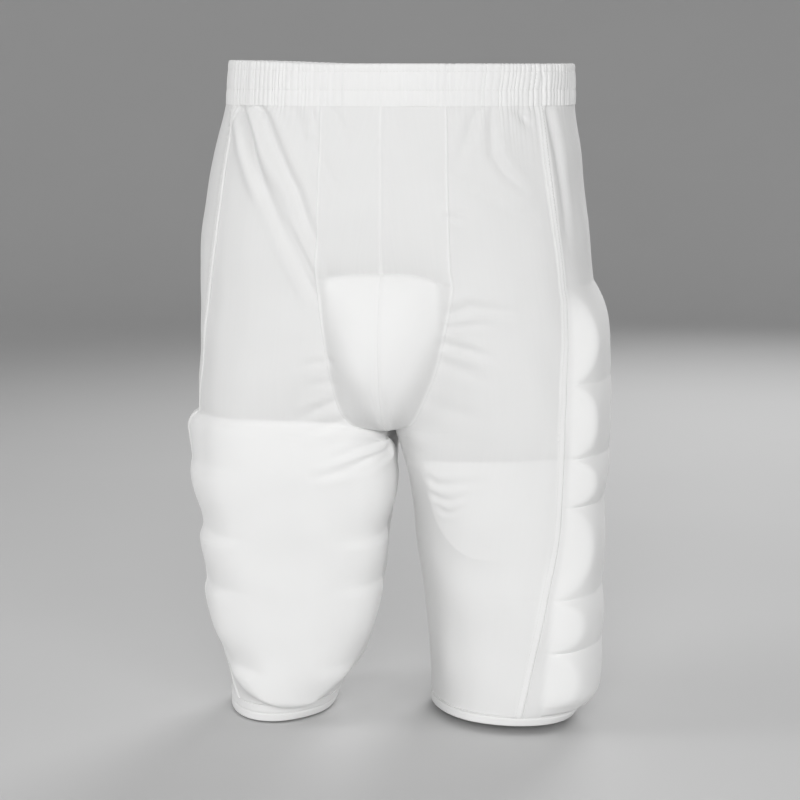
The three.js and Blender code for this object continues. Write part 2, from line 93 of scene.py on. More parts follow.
def smooth_column(places, values):
    """A cubic through a table's column that never overshoots its rows, as a function of the place."""
    order = np.argsort(places)
    z = np.asarray(places, float)[order]
    v = np.asarray(values, float)[order]
    rise = np.diff(v) / np.diff(z)
    total = rise[:-1] + rise[1:]
    product = rise[:-1] * rise[1:]
    inner = np.where(product > 0, 2 * product / np.where(total == 0, 1, total), 0)
    slope = np.concatenate([rise[:1], inner, rise[-1:]])

    def at(place):
        h = np.clip(place, z[0], z[-1])
        i = np.clip(np.searchsorted(z, h) - 1, 0, len(z) - 2)
        span = z[i + 1] - z[i]
        t = (h - z[i]) / span
        back = 1 - t
        ends = back * back * (1 + 2 * t) * v[i] + t * t * (3 - 2 * t) * v[i + 1]
        return ends + span * t * back * (back * slope[i] - t * slope[i + 1])

    return at


def named_columns(names, *rows):
    """The columns of a short table, by name."""
    return dict(zip(names.split(), np.array(rows, float).T))


def named_curves(names, *rows):
    """The columns of a short table after its first one, by name, each as a function of the first."""
    first, *others = names.split()
    columns = named_columns(names, *rows)
    return {name: smooth_column(columns[first], columns[name]) for name in others}


# Sections of the shell, close to those of the solids
TRUNK = named_columns(
    "z right left cut front back middle square web",
    (18, 147, 149, 0, -109, 106, 2, 2.2, 0),
    (-18, 151, 151, 0, -111, 108, 2, 2.2, 0),
    (-60, 162, 156, 0, -114, 115, 3, 2.25, 0),
    (-105, 170, 161, 0, -115, 124, 4, 2.3, 0),
    (-150, 175, 166, 0, -114, 131, 5, 2.35, 4),
    (-190, 175, 170, 0.08, -111, 133, 6, 2.4, 12),
    (-225, 176, 171, 0.29, -107, 130, 7, 2.45, 17),
    (-255, 177, 172, 0.553, -103, 123, 8, 2.5, 15),
    (-280, 177, 172, 0.824, -99, 114, 8, 2.55, 9),
)
SECTION_SIZES = ("outer", "inner", "front", "back", "middle", "square", "web")
RIGHT_LEG = named_columns(
    "z outer inner front back middle square web",
    (-297, 176, 2.6, -96, 107, 8, 2.6, 2.2),
    (-313, 175, 4.4, -94, 103, 7, 2.65, 2),
    (-333, 173, 5.5, -92, 99, 6, 2.7, 1.5),
    (-387, 169, 11, -86, 92, 4, 2.7, 0),
    (-441, 165, 17, -81, 86, 3, 2.6, 0),
    (-470, 161, 23, -79, 83, 2, 2.4, 0),
    (-500, 155, 31, -77, 80, 2, 2.2, 0),
    (-526, 151, 50, -75, 77, 1, 2.05, 0),
    (-550, 151, 59, -73, 75, 0, 2, 0),
)
LEFT_LEG = named_columns(
    "z outer inner front back middle square web",
    (-297, 172, 2.6, -96, 107, 8, 2.6, 2.2),
    (-313, 171, 7, -94, 103, 7.6, 2.65, 2),
    (-333, 170, 11, -92, 99, 7, 2.7, 1.5),
    (-387, 168, 15, -87, 92, 6, 2.6, 0),
    (-441, 168, 21, -83, 86, 5, 2.45, 0),
    (-495, 168, 26, -79, 81, 4, 2.3, 0),
    (-535, 164, 28, -76, 77, 3, 2.2, 0),
    (-544, 159, 28, -75, 76, 3, 2.2, 0),
)
# How much further forward a leg stands at its outer side than at its inner side, per distance across
LEAN = named_curves(
    "z right left",
    (18, 0, 0),
    (-285, 0, 0),
    (-380, 0, 0.14),
    (-480, 0, 0.22),
    (-550, 0, 0.22),
)
# How much squarer a section is at its inner front corner than elsewhere
CORNER = named_curves(
    "z right left",
    (18, 0, 0),
    (-225, 0, 0),
    (-280, 1, 0.7),
    (-297, 2, 1.2),
    (-340, 2.4, 0.4),
    (-390, 1.8, 0),
    (-450, 1.1, 0),
    (-510, 0.4, 0),
    (-550, 0, 0),
)

# Seams, as distances from the middle plane
RIGHT_SEAMS = named_curves(
    "z gusset side_front side_back",
    (-18, 51, 131, 120),
    (-56, 52, 137, 128),
    (-93, 53, 142, 134),
    (-155, 55, 152, 147),
    (-178, 53, 156, 149),
    (-218, 48, 161, 152),
    (-254, 42, 166, 152),
    (-273, 36, 168.5, 151),
    (-284, 26, 170, 151),
    (-291, 16, 171, 151),
    (-296.5, 4, 171.5, 151),
    (-340, 4, 170.5, 150),
    (-420, 4, 164, 146),
    (-490, 4, 152, 140),
    (-550, 4, 128, 134),
)
LEFT_SEAMS = named_curves(
    "z gusset side_front side_back",
    (-18, 54, 128, 120),
    (-93, 56, 138, 132),
    (-148, 58, 146, 142),
    (-165, 60, 148, 144),
    (-182, 58, 150, 146),
    (-205, 53, 150, 148),
    (-231, 47, 150, 149),
    (-259, 36, 150, 149),
    (-281, 24, 149, 148),
    (-296.5, 4, 149, 148),
    (-364, 4, 147, 146),
    (-434, 4, 137, 146),
    (-486, 4, 127, 144),
    (-544, 4, 115, 134),
)


class Half:
    """One half of the shorts: the sizes of its sections and its seams, as functions of height."""

    def __init__(self, label, sign, leg, seams):
        self.label = label
        self.sign = sign
        self.seams = seams
        self.lean = LEAN[label]
        self.corner = CORNER[label]
        outer = TRUNK[label]
        inner = outer - 2 * (outer - TRUNK["web"]) / (1 + TRUNK["cut"])
        trunk = {**TRUNK, "outer": outer, "inner": inner}
        heights = np.concatenate([TRUNK["z"], leg["z"]])
        self.columns = [
            smooth_column(heights, np.concatenate([trunk[name], leg[name]])) for name in SECTION_SIZES
        ]
        near_crotch = np.linspace(CROTCH, CROTCH + ARCH, ARCH_SAMPLES)
        _, inner, _, _, _, _, web = self.sizes(near_crotch)
        self.closes = near_crotch[inner < web].min()

    def sizes(self, z):
        return [column(z) for column in self.columns]

    def front_corner(self, z):
        """The squareness and the web of the inner front corner, where the middle sinks to the crotch."""
        outer, inner, _, _, _, square, web = self.sizes(z)
        reach = (outer - inner) / 2
        corner = square + self.corner(z)
        depth = np.clip((z - self.closes) / ARCH, 0, 1)
        sunk = inner + reach * (1 - (1 - depth**corner) ** (1 / corner))
        return corner, np.where((depth > 0) & (depth < 1), np.minimum(web, sunk), web)

    def section(self, z):
        """Points of the half section at each height, and how far along the cloth each one lies."""
        outer, inner, front, back, middle, square, web = (size[:, None] for size in self.sizes(z))
        centre = (outer + inner) / 2
        reach = (outer - inner) / 2
        corner, front_web = (size[:, None] for size in self.front_corner(z))
        start = np.arccos(signed_power(np.minimum((centre - front_web) / reach, 1), corner / 2))
        stop = 2 * math.pi - np.arccos(signed_power(np.minimum((centre - web) / reach, 1), square / 2))
        share = np.linspace(0, 1, SECTION_SAMPLES + 1)[None, :]
        angle = start + (stop - start) * share
        square = np.where(angle < math.pi / 2, corner, square)
        web = np.where(angle < math.pi / 2, front_web, web)
        soft = centre - reach * signed_power(np.cos(angle), 2 / square)
        depth = -signed_power(np.sin(angle), 2 / square)
        x = np.sqrt(np.maximum(0, soft**2 - web**2))
        y = middle + depth * np.where(depth < 0, middle - front, back - middle)
        y = y - self.lean(z)[:, None] * (x - centre)
        steps = np.hypot(np.diff(x, axis=1), np.diff(y, axis=1))
        along = np.concatenate([np.zeros((len(z), 1)), np.cumsum(steps, axis=1)], axis=1)
        return x, y, along

    def level(self, x, y, z):
        """1 on the shell's base form, and more outside it."""
        outer, inner, front, back, middle, square, web = self.sizes(z)
        centre = (outer + inner) / 2
        behind = y + self.lean(z) * (x - centre) - middle
        depth = behind / np.where(behind < 0, middle - front, back - middle)
        corner, front_web = self.front_corner(z)
        inner_front = (x < centre) & (behind < 0)
        square = np.where(inner_front, corner, square)
        across = (np.hypot(x, np.where(inner_front, front_web, web)) - centre) / (outer - centre)
        return np.abs(across) ** square + np.abs(depth) ** square


RIGHT = Half("right", -1, RIGHT_LEG, RIGHT_SEAMS)
LEFT = Half("left", 1, LEFT_LEG, LEFT_SEAMS)
HALVES = (RIGHT, LEFT)


class Rows:
    """A half's sections at a list of heights, with the distance along the cloth of every seam."""

    def __init__(self, half, z):
        self.half = half
        self.z = np.asarray(z, float)
        self.x, self.y, self.along = half.section(self.z)
        self.widest = self.along[np.arange(len(self.z)), self.x.argmax(axis=1)]
        taper = np.clip((self.z - CROTCH) / GUSSET_TAPER, 0, 1) ** GUSSET_TAPER_POWER
        self.lines = {
            "centre_front": np.zeros(len(self.z)),
            "gusset": self.along_at(half.seams["gusset"](self.z)) * taper,
            "side_front": self.along_at(half.seams["side_front"](self.z)),
            "side_back": self.along_at(half.seams["side_back"](self.z), behind=True),
            "centre_back": self.along[:, -1],
        }

    def along_at(self, across, behind=False):
        """Distance along each section where it passes a distance from the middle plane."""
        across = np.broadcast_to(across, self.z.shape)
        found = np.empty(len(self.z))
        for i, target in enumerate(across):
            turn = int(self.x[i].argmax())
            run = slice(turn, None) if behind else slice(0, turn + 1)
            step = -1 if behind else 1
            found[i] = np.interp(target, self.x[i][run][::step], self.along[i][run][::step])
        return found


def places_at(rows, along):
    """Points and outward normals of the base form, for a grid of distances along its rows.

    Each place's wrap is its distance along the cloth from the outermost line, less than 0 in front.
    """
    half = rows.half
    along = np.clip(along, 0, rows.along[:, -1:])
    x = np.stack([np.interp(a, s, v) for a, s, v in zip(along, rows.along, rows.x)])
    y = np.stack([np.interp(a, s, v) for a, s, v in zip(along, rows.along, rows.y)])
    z = np.broadcast_to(rows.z[:, None], x.shape)
    d = NORMAL_STEP
    slope_x = half.level(x + d, y, z) - half.level(x - d, y, z)
    slope_y = half.level(x, y + d, z) - half.level(x, y - d, z)
    slope_z = half.level(x, y, z + d) - half.level(x, y, z - d)
    sideways = np.where(z > CROTCH, smooth(x, 0, MIDDLE_BLEND), 1)
    normal = np.stack([half.sign * sideways * slope_x, slope_y, slope_z], axis=-1)
    normal /= np.linalg.norm(normal, axis=-1, keepdims=True)
    point = np.stack([half.sign * x, y, z], axis=-1)
    lines = {name: line[:, None] for name, line in rows.lines.items()}
    wrap = along - rows.widest[:, None]
    return SimpleNamespace(
        half=half, rows=rows, along=along, wrap=wrap, x=x, z=z, point=point, normal=normal, lines=lines,
        in_front=wrap < 0,
    )


def places_round(half, z, share):
    """Places at each height, at shares of the half's whole width."""
    rows = Rows(half, z)
    return places_at(rows, rows.along[:, -1:] * share[None, :])


# Pads that push the cloth out, and the hollows that the cloth makes above them
CUP = SimpleNamespace(
    top=-154.0, bottom=-292.0, lift=23.0, to_seam=1.0, least_width=1.0, top_power=4, edge_top=0.75,
    edge_bottom=1.0, inset_length=60.0, foam_edge=(-0.4, 0.1),
)
# Where the cup's foam ends, as a share of the half width at its bottom and at its top
CUP_FOAM = {"right": (0.0, 0.95), "left": (0.15, 1.1)}
CUP_TOP_DROP = {"right": 4.0, "left": 9.0}
CUP_INSET = {"right": 4.0, "left": 9.0}
CUP_RISE = named_curves(
    "below share",
    (0, 0), (4, 0.1), (10, 0.23), (20, 0.42), (35, 0.65), (55, 0.87), (73, 0.98), (83, 1.0),
    (95, 0.95), (107, 0.82), (118, 0.61), (127, 0.36), (133, 0.17), (138, 0),
)["share"]
CUP_HOLLOW = SimpleNamespace(depth=5.5, above=20.0, below=8.0, side=10.0)
THIGH = SimpleNamespace(
    top=-280.0, tip=-536.0, lift=11.0, edge=16.0, tip_edge=9.0, tip_edge_from=-470.0,
    corner_share=(0.6, 0.95),
    groove_depth=0.5, groove_share=(0.22, 0.68), groove_above=21.0, groove_below=7.0,
    border_thin=0.42, thin_share=(0.55, 1.0), thin_below=(45.0, 110.0),
    tent=4.0, tent_reach=14.0, tent_top=-468.0, tent_rise=30.0, tent_above_hem=12.0,
)
THIGH_RISE = named_curves(
    "below share",
    (0, 0), (4, 0.18), (10, 0.36), (20, 0.57), (35, 0.8), (55, 0.95), (75, 1), (90, 1),
)["share"]
THIGH_CORNER_RISE = named_curves("below share", (0, 0), (3, 0.5), (8, 0.85), (15, 1), (90, 1))["share"]
THIGH_HOLLOW = SimpleNamespace(depth=2.2, above=24.0, below=10.0, share=(0.5, 1.2))
THIGH_OUTLINE = named_curves(
    "z centre inner outer",
    (-280, 84, 46, 132),
    (-290, 84, 82, 132),
    (-298, 84, 104, 132),
    (-308, 84, 122, 132),
    (-333, 83, 130, 130),
    (-387, 82, 118, 126),
    (-441, 82, 104, 117),
    (-470, 82, 88, 104),
    (-497, 82, 64, 80),
    (-515, 83, 43, 57),
    (-527, 84, 26, 36),
    (-536, 84, 8, 10),
)
THIGH_GROOVES = named_columns(
    "inner_z inner outer_z outer",
    (-322, 0.15, -321, 0.6),
    (-379, 0.9, -381, 1.0),
    (-423, 0.8, -430, 0.95),
    (-494, 0.65, -500, 0.95),
)
SIDE = SimpleNamespace(
    top=-168.0, bottom=-534.0, lift=13.0, width=112.0, flank=2.4, flank_reach=14.0, corner=1.5, crown=0.9,
    chamfer=0.62, bulge_power=2.2, reach=26.0, back_edge=28.0, top_edge=52.0, bottom_edge=20.0,
    groove=0.08, groove_power=4,
)
SIDE_SLOPE = named_curves("z slope", (-168, 0.95), (-285, 0.9), (-350, 0.78), (-534, 0.7))["slope"]
SIDE_START = named_curves("z gap", (-180, 1.5), (-425, 1.5), (-480, 7), (-533, 13))["gap"]
SIDE_BLOCK_ENDS = (-168.0, -249.0, -311.0, -352.0, -431.0, -477.0, -528.0)
FRONT = SimpleNamespace(
    centre=88.0, centre_z=-330.0, half_width=50.0, half_height=67.0, roundness=2.3, upper_lean=0.5,
    least_level=0.01, to_seam=4.0, lift=3.0, tent=9.0, dip=0.4, dip_length=9.0, fade=(22.0, 98.0),
)
FRONT_TOP = named_columns("across top", (10, -316), (40, -313), (80, -312), (120, -310), (160, -308))
FRONT_RISE = named_curves(
    "below share", (0, 0), (4, 0.25), (10, 0.55), (20, 0.85), (35, 1), (50, 1),
)["share"]
FRONT_HOLLOW = SimpleNamespace(depth=2.2, above=28.0, below=9.0, arc=(-10.0, 20.0), side=20.0)


def hollow(above, shape):
    """Depth of a hollow that comes to a crease, longer above it than below."""
    return shape.depth * np.exp(-np.where(above > 0, above / shape.above, -above / shape.below))


def cup_frame(p):
    """The cup's half width, how much of it lies inside a place, from 0 to 1, and its top crease."""
    label = p.half.label
    inset = CUP_INSET[label] * (1 - smooth(CUP.top - p.z, 0, CUP.inset_length))
    half_width = np.maximum(p.lines["gusset"] - CUP.to_seam - inset, CUP.least_width)
    share = np.clip(p.along / half_width, 0, 1)
    crease = CUP.top - CUP_TOP_DROP[label] * share**CUP.top_power
    return half_width, share, crease


def cup_lift(p):
    half_width, _, crease = cup_frame(p)
    edge = np.interp(p.z, (CUP.bottom, CUP.top), (CUP.edge_bottom, CUP.edge_top)) * half_width
    return CUP.lift * CUP_RISE(crease - p.z) * soft_edge(half_width - p.along, edge) * (p.z > CUP.bottom)


def cup_hollow(p):
    """The cloth above the cup sinks towards the crease at its top."""
    _, _, crease = cup_frame(p)
    to_seam = p.lines["gusset"] - p.along
    return hollow(p.z - crease, CUP_HOLLOW) * smooth(to_seam, 0, CUP_HOLLOW.side)


def thigh_outline(rows):
    """The thigh pad's middle line, and its reach to the inner and to the outer side, at each row."""
    inner, outer = (THIGH_OUTLINE[side](rows.z)[:, None] for side in ("inner", "outer"))
    return rows.along_at(THIGH_OUTLINE["centre"](rows.z))[:, None], inner, outer


def thigh_frame(p):
    """Offset of a place from the thigh pad's middle line, and the pad's reach on that side."""
    middle, inner, outer = thigh_outline(p.rows)
    offset = p.along - middle
    return offset, np.where(offset < 0, inner, outer)


def near_tip(p, offset, reach, fades_over):
    """Where the cloth slopes off the lower border of the thigh pad, from 0 far off to 1 at the border."""
    outside = np.maximum(np.abs(offset) - reach, 0)
    return smooth(THIGH.tent_top - p.z, 0, THIGH.tent_rise) * np.exp(-outside / fades_over)


def thigh_grooves(p, offset):
    """The sewn grooves between the thigh pad's cushions, from 0 to 1, longer above than below."""
    groove = np.zeros_like(p.x)
    for inner_z, inner, outer_z, outer in zip(*THIGH_GROOVES.values()):
        above = p.z - np.where(offset < 0, inner_z, outer_z)
        notch = np.where(above > 0, gauss(above, THIGH.groove_above), gauss(above, THIGH.groove_below))
        groove = np.maximum(groove, notch * np.where(offset < 0, inner, outer))
    return groove


def thigh_lift(p):
    offset, reach = thigh_frame(p)
    share = np.abs(offset) / reach
    below = THIGH.top - p.z
    rise = THIGH_RISE(below)
    rise = rise + (THIGH_CORNER_RISE(below) - rise) * smooth(offset / reach, *THIGH.corner_share)
    edge = np.interp(p.z, (THIGH.tip, THIGH.tip_edge_from), (THIGH.tip_edge, THIGH.edge))
    border = round_edge(reach - np.abs(offset), edge) * round_edge(p.z - THIGH.tip, THIGH.tip_edge)
    pinch = 1 - THIGH.groove_depth * thigh_grooves(p, offset) * smooth(share, *THIGH.groove_share)
    thin = 1 - THIGH.border_thin * smooth(share, *THIGH.thin_share) * smooth(below, *THIGH.thin_below)
    above_hem = smooth(p.z - HEM_TOP, 0, THIGH.tent_above_hem)
    tent = THIGH.tent * near_tip(p, offset, reach, THIGH.tent_reach) * above_hem
    return np.maximum(THIGH.lift * rise * border * pinch * thin * (share < 1), tent)


def thigh_hollow(p):
    offset, reach = thigh_frame(p)
    return hollow(p.z - THIGH.top, THIGH_HOLLOW) * (1 - smooth(np.abs(offset) / reach, *THIGH_HOLLOW.share))


def side_frame(p):
    """How far behind the front border of the side blocks a place lies, and its place in its block."""
    start = p.lines["side_front"] + SIDE_START(p.z)
    block = np.ones_like(p.x)
    for top, bottom in zip(SIDE_BLOCK_ENDS[:-1], SIDE_BLOCK_ENDS[1:]):
        q = (2 * p.z - top - bottom) / (top - bottom)
        block = np.where(np.abs(q) <= 1, q, block)
    return p.along - start, block


def side_lift(p):
    """Pillows one above the other: each bulges forward in the middle and is pinched back at its ends."""
    inside, block = side_frame(p)
    bulge = 1 - np.abs(block) ** SIDE.bulge_power
    forward = (SIDE.crown + SIDE.chamfer) * bulge - SIDE.chamfer
    face = SIDE.lift * (1 + forward * np.exp(-np.maximum(inside, 0) / SIDE.reach))
    face = face * (1 - SIDE.groove * block**SIDE.groove_power)
    flank = SIDE.flank * np.exp(np.minimum(inside, 0) / SIDE.flank_reach)
    rise = soft_least(flank + SIDE_SLOPE(p.z) * np.maximum(inside, 0), face, SIDE.corner)
    border = soft_edge(SIDE.width - inside, SIDE.back_edge)
    ends = soft_edge(SIDE.top - p.z, SIDE.top_edge) * round_edge(p.z - SIDE.bottom, SIDE.bottom_edge)
    return np.maximum(rise, 0) * border * ends


def front_frame(p):
    """How far a place lies inside the front pad's arc, short of the side seam and below the pad's top."""
    width = FRONT.half_width + FRONT.upper_lean * np.maximum(p.z - FRONT.centre_z, 0)
    across = np.maximum(FRONT.centre - p.x, 0) / width
    down = np.maximum(FRONT.centre_z - p.z, 0) / FRONT.half_height
    level = (across**FRONT.roundness + down**FRONT.roundness) ** (1 / FRONT.roundness)
    steepness = np.hypot(across / width, down / FRONT.half_height) / np.maximum(level, FRONT.least_level)
    inside = (1 - level) / np.maximum(steepness, 1 / FRONT.half_height)
    to_seam = p.lines["side_front"] - FRONT.to_seam - p.along
    below = np.interp(p.x, FRONT_TOP["across"], FRONT_TOP["top"]) - p.z
    return inside, to_seam, below


def front_lift(p):
    inside, to_seam, below = front_frame(p)
    tent = np.exp(np.minimum(inside, 0) / FRONT.tent)
    dip = FRONT.dip * (1 - np.exp(-np.maximum(inside, 0) / FRONT.dip_length))
    return FRONT.lift * (tent - dip) * FRONT_RISE(below) * smooth(to_seam, *FRONT.fade) * p.in_front


def front_hollow(p):
    inside, to_seam, below = front_frame(p)
    within = smooth(inside, *FRONT_HOLLOW.arc) * smooth(to_seam, 0, FRONT_HOLLOW.side)
    return hollow(-below, FRONT_HOLLOW) * within * p.in_front


PAD_LIFTS = {"right": (cup_lift, thigh_lift), "left": (cup_lift, side_lift, front_lift)}
HOLLOWS = {"right": (cup_hollow, thigh_hollow), "left": (cup_hollow, front_hollow)}

# Folds, as valleys along lines of points (distance from the middle plane, height, depth), with a
# half width and a ridge beside each as a share of its depth
RIGHT_FOLDS = (
    (4.6, 0.5, ((129, -12, 3.4), (118, -37, 6.4), (105, -74, 4.6), (96, -92, 1.8), (84, -116, 1.5),
                (70, -142, 2.7), (59, -164, 2.7), (53, -177, 0.4))),
    (4.2, 0.5, ((110, -12, 3.4), (98, -33, 4.6), (84, -61, 3.9), (71, -85, 2.9), (58, -120, 2.2),
                (53, -134, 0.3))),
    (3.2, 0.4, ((80, -110, 0.2), (66, -135, 1.5), (57, -153, 1.6), (53, -162, 0.2))),
    (4.5, 0.4, ((75, -14, 0.9), (63, -52, 0.8), (57, -70, 0.1))),
    (4, 0.4, ((56, -44, 0.6), (45, -68, 1.6), (35, -89, 0.8), (31, -98, 0.1))),
    (3.4, 0.4, ((42, -14, 1.2), (32, -36, 1.1), (27, -56, 0.2))),
    (2.4, 0.4, ((59, -15, 1), (55, -36, 0.8))),
    (3, 0.5, ((41, -226, 0.7), (55, -229, 0.7), (70, -232, 0.1))),
    (3, 0.5, ((40, -244, 0.6), (52, -246, 0.6), (66, -249, 0.1))),
    (3.4, 0.5, ((42, -262, 0.7), (55, -268, 1.4), (74, -278, 0.3))),
    (3, 0.5, ((32, -277, 1), (46, -283, 1.1), (63, -288, 0.2))),
    (2.6, 0.5, ((11, -299, 1.1), (25, -302, 1.2), (43, -309, 0.2))),
    (3, 0.6, ((7, -306, 1.8), (20, -312, 2), (38, -320.5, 1.5), (60, -327, 0.2))),
    (2.4, 0.6, ((7, -311, 1.2), (11, -314, 1.3), (20, -320, 1), (32, -325, 0.1))),
    (2, 0.4, ((47, -219, 0.2), (43, -226, 0.9), (38, -234, 0.2))),
)
LEFT_FOLDS = (
    (4, 0.4, ((80, -14, 1.2), (71, -40, 1.4), (62, -61, 0.2))),
    (4.4, 0.4, ((89, -14, 1.8), (91, -56, 1.8), (100, -70, 1.6), (114, -85, 0.4))),
    (4.4, 0.3, ((108, -18, 1), (114, -26, 2.6), (119, -34, 0.4))),
    (6.5, 0.3, ((57, -72, 0.5), (85, -88, 1.4), (122, -108, 0.5))),
    (2.6, 0.5, ((56, -106, 1.1), (63, -108, 0.8), (72, -111, 0.1))),
    (4.2, 0.5, ((58, -186, 1.4), (73, -180, 1.9), (100, -184, 1.2), (120, -187, 0.2))),
    (2.8, 0.5, ((55, -197, 1.2), (75, -195, 0.9), (97, -194, 0.1))),
    (3.6, 0.5, ((51, -211, 1.6), (76, -217, 1.7), (95, -223, 0.2))),
    (5, 0.4, ((52, -227, 0.7), (72, -234, 0.8), (92, -243, 0.1))),
    (6, 0.3, ((40, -262, 0.5), (62, -268, 0.6), (90, -276, 0.1))),
    (9, 0, ((14, -305, 1.6), (26, -308, 1.8), (40, -313, 0.3))),
    (2.8, 0.7, ((37, -327, 0.8), (44, -332, 1.1), (60, -331, 0.5), (84, -329, 0.1))),
    (2.4, 0.7, ((40, -340, 0.6), (46, -345, 1), (56, -346, 0.7), (70, -340, 0.1))),
    (2.2, 0.6, ((44, -351, 0.4), (51, -357, 0.8), (58, -356, 0.5), (67, -351, 0.1))),
    (5, 0.3, ((133, -18, 2.2), (141, -60, 2.6), (147, -105, 1.6), (150, -135, 0.3))),
)
BACK_FOLDS = (
    (7, 0.4, ((20, -279, 0.8), (60, -293, 2.6), (105, -291, 2), (142, -276, 0.2))),
    (6, 0.4, ((24, -312, 0.6), (62, -318, 1.5), (112, -312, 0.2))),
    (6, 0.3, ((90, -14, 1.5), (82, -60, 1.6), (70, -110, 0.3))),
    (6, 0.3, ((48, -14, 1.2), (44, -48, 1.1), (37, -84, 0.2))),
    (7, 0.3, ((60, -436, 0.2), (90, -428, 1), (128, -432, 0.2))),
)
FRONT_FOLDS = {"right": RIGHT_FOLDS, "left": LEFT_FOLDS}
# A ridge's distance from its valley and its half width, in half widths of the valley
RIDGE = SimpleNamespace(at=2.1, half_width=1.2)


def polyline_distance(points, values, wrap, z):
    """Distance of each place from a line of points, and the line's value at its nearest point."""
    best = np.full(wrap.shape, np.inf)
    value = np.zeros(wrap.shape)
    for a, b, start, end in zip(points[:-1], points[1:], values[:-1], values[1:]):
        run = b - a
        length = np.hypot(*run)
        t = np.clip(((wrap - a[0]) * run[0] + (z - a[1]) * run[1]) / length**2, 0, 1)
        distance = np.hypot(wrap - (a[0] + t * run[0]), z - (a[1] + t * run[1]))
        nearer = distance < best
        best = np.where(nearer, distance, best)
        value = np.where(nearer, start + (end - start) * t, value)
    return best, value


def fold_relief(p, folds, behind=False):
    total = np.zeros_like(p.x)
    shown = ~p.in_front if behind else p.in_front
    for half_width, ridge, points in folds:
        across, heights, depths = np.array(points, float).T
        spots = Rows(p.half, heights)
        line = np.stack([spots.along_at(across, behind) - spots.widest, heights], axis=-1)
        distance, depth = polyline_distance(line, depths, p.wrap, p.z)
        total -= depth * gauss(distance, half_width)
        total += ridge * depth * gauss(distance - RIDGE.at * half_width, RIDGE.half_width * half_width)
    return total * shown


# Seams: a groove where two panels meet and a low welt beside it, a raised strip down the front middle,
# a lip along the gusset, and a flat strip by the side seam
SEAM = SimpleNamespace(groove=0.15, groove_half_width=0.6, welt=0.3, welt_at=2.0, welt_half_width=1.2)
MIDDLE_STRIP = SimpleNamespace(lift=0.6, half_width=1.9)
LIP = SimpleNamespace(lift=0.55, at=1.3, half_width=1.0)
STRIP = SimpleNamespace(width=7.0, lift=0.75, edge=0.8)
STRIP_SIDE = {"right": 1, "left": -1}


def strip_share(p):
    """1 on the flat strip by the side seam, and 0 off it."""
    across = STRIP_SIDE[p.half.label] * (p.along - p.lines["side_front"])
    return smooth(across, 0, STRIP.edge) * smooth(STRIP.width - across, 0, STRIP.edge)


def seam_relief(p):
    relief = np.zeros_like(p.x)
    for name, line in p.lines.items():
        distance = np.abs(p.along - line)
        if name == "centre_front":
            relief += MIDDLE_STRIP.lift * gauss(distance, MIDDLE_STRIP.half_width)
            continue
        relief -= SEAM.groove * gauss(distance, SEAM.groove_half_width)
        if name == "gusset":
            relief += LIP.lift * gauss(line - p.along - LIP.at, LIP.half_width)
        else:
            relief += SEAM.welt * gauss(distance - SEAM.welt_at, SEAM.welt_half_width)
    return relief + STRIP.lift * strip_share(p)


# The gathers of the waistband, which run on a little way down the cloth below it
BAND = SimpleNamespace(
    columns=1200, wall=3.4, seed=3, pitch_side=4.6, pitch_middle=6.4, deep=1.7, shallow=0.4, middle_from=0.55,
    depth_draw=(0.3, 1), tunnel_draw=(0.5, 1), pitch_draw=(0.6, 1.4), lean=0.2, lean_turn=(0.2, 0.8),
    stitch_rows=(11.5, -3.5), stitch_depth=0.2, stitch_half_width=0.7, tunnel_blend=1.5, fullness=1.15,
    right_rise=3.0, rise_across=(40, 140), rise_from=4, ruffle_drop=0.5, drop_reach=5, runs_down=13.0,
)
TUNNELS = 3
# Seams that run on up through the waistband as deeper creases, with more creases beside them: the
# seam, the distance past it, and the crease's depth and half width
BAND_CREASES = (
    (RIGHT, "side_front", 0, 2.4, 1.5), (RIGHT, "side_front", -7, 1.3, 1.2),
    (RIGHT, "side_front", 8, 1.6, 1.6), (RIGHT, "gusset", 0, 0.8, 1.2), (RIGHT, "gusset", -6, 0.8, 1),
    (RIGHT, "gusset", -12, 0.5, 0.9), (RIGHT, "gusset", -19, 0.7, 1), (RIGHT, "centre_front", 0, 0.5, 1),
    (LEFT, "gusset", 0, 0.7, 1.2), (LEFT, "gusset", 6, 0.5, 1), (LEFT, "side_front", 0, 1.5, 1.3),
    (LEFT, "side_front", 6, 1, 1), (RIGHT, "side_back", 0, 1, 1.2), (LEFT, "side_back", 0, 1, 1.2),
)
WAIST_ROWS = {half.label: Rows(half, [0.0]) for half in HALVES}
WAIST_LENGTHS = {label: float(rows.along[0, -1]) for label, rows in WAIST_ROWS.items()}
WAIST = sum(WAIST_LENGTHS.values())


def waist_travel(half, share):
    """Distance round the waist, from the front middle leftwards, of a share of a half's width."""
    return share * WAIST / 2 if half is LEFT else WAIST - share * WAIST / 2


def ruffle_marks():
    """The valleys of the gathered band, and the depth of the gathers in its three tunnels."""
    draw = np.random.default_rng(BAND.seed)
    marks = [0.0]
    depths = []
    while marks[-1] < WAIST:
        turn = 2 * math.pi * marks[-1] / WAIST
        middle = float(smooth(0.5 + 0.5 * math.cos(2 * turn), BAND.middle_from, 1.0))
        pitch = BAND.pitch_side + (BAND.pitch_middle - BAND.pitch_side) * middle
        deep = BAND.deep + (BAND.shallow - BAND.deep) * middle
        depths.append(deep * draw.uniform(*BAND.depth_draw) * draw.uniform(*BAND.tunnel_draw, TUNNELS))
        marks.append(marks[-1] + pitch * draw.uniform(*BAND.pitch_draw))
    return np.array(marks) * WAIST / marks[-1], np.array(depths)


def crease_places():
    """Each crease of the waistband as its distance round the waist, its depth and its half width."""
    places = []
    for half, seam, beside, depth, half_width in BAND_CREASES:
        share = (float(WAIST_ROWS[half.label].lines[seam][0]) + beside) / WAIST_LENGTHS[half.label]
        places.append((waist_travel(half, share), depth, half_width))
    return places


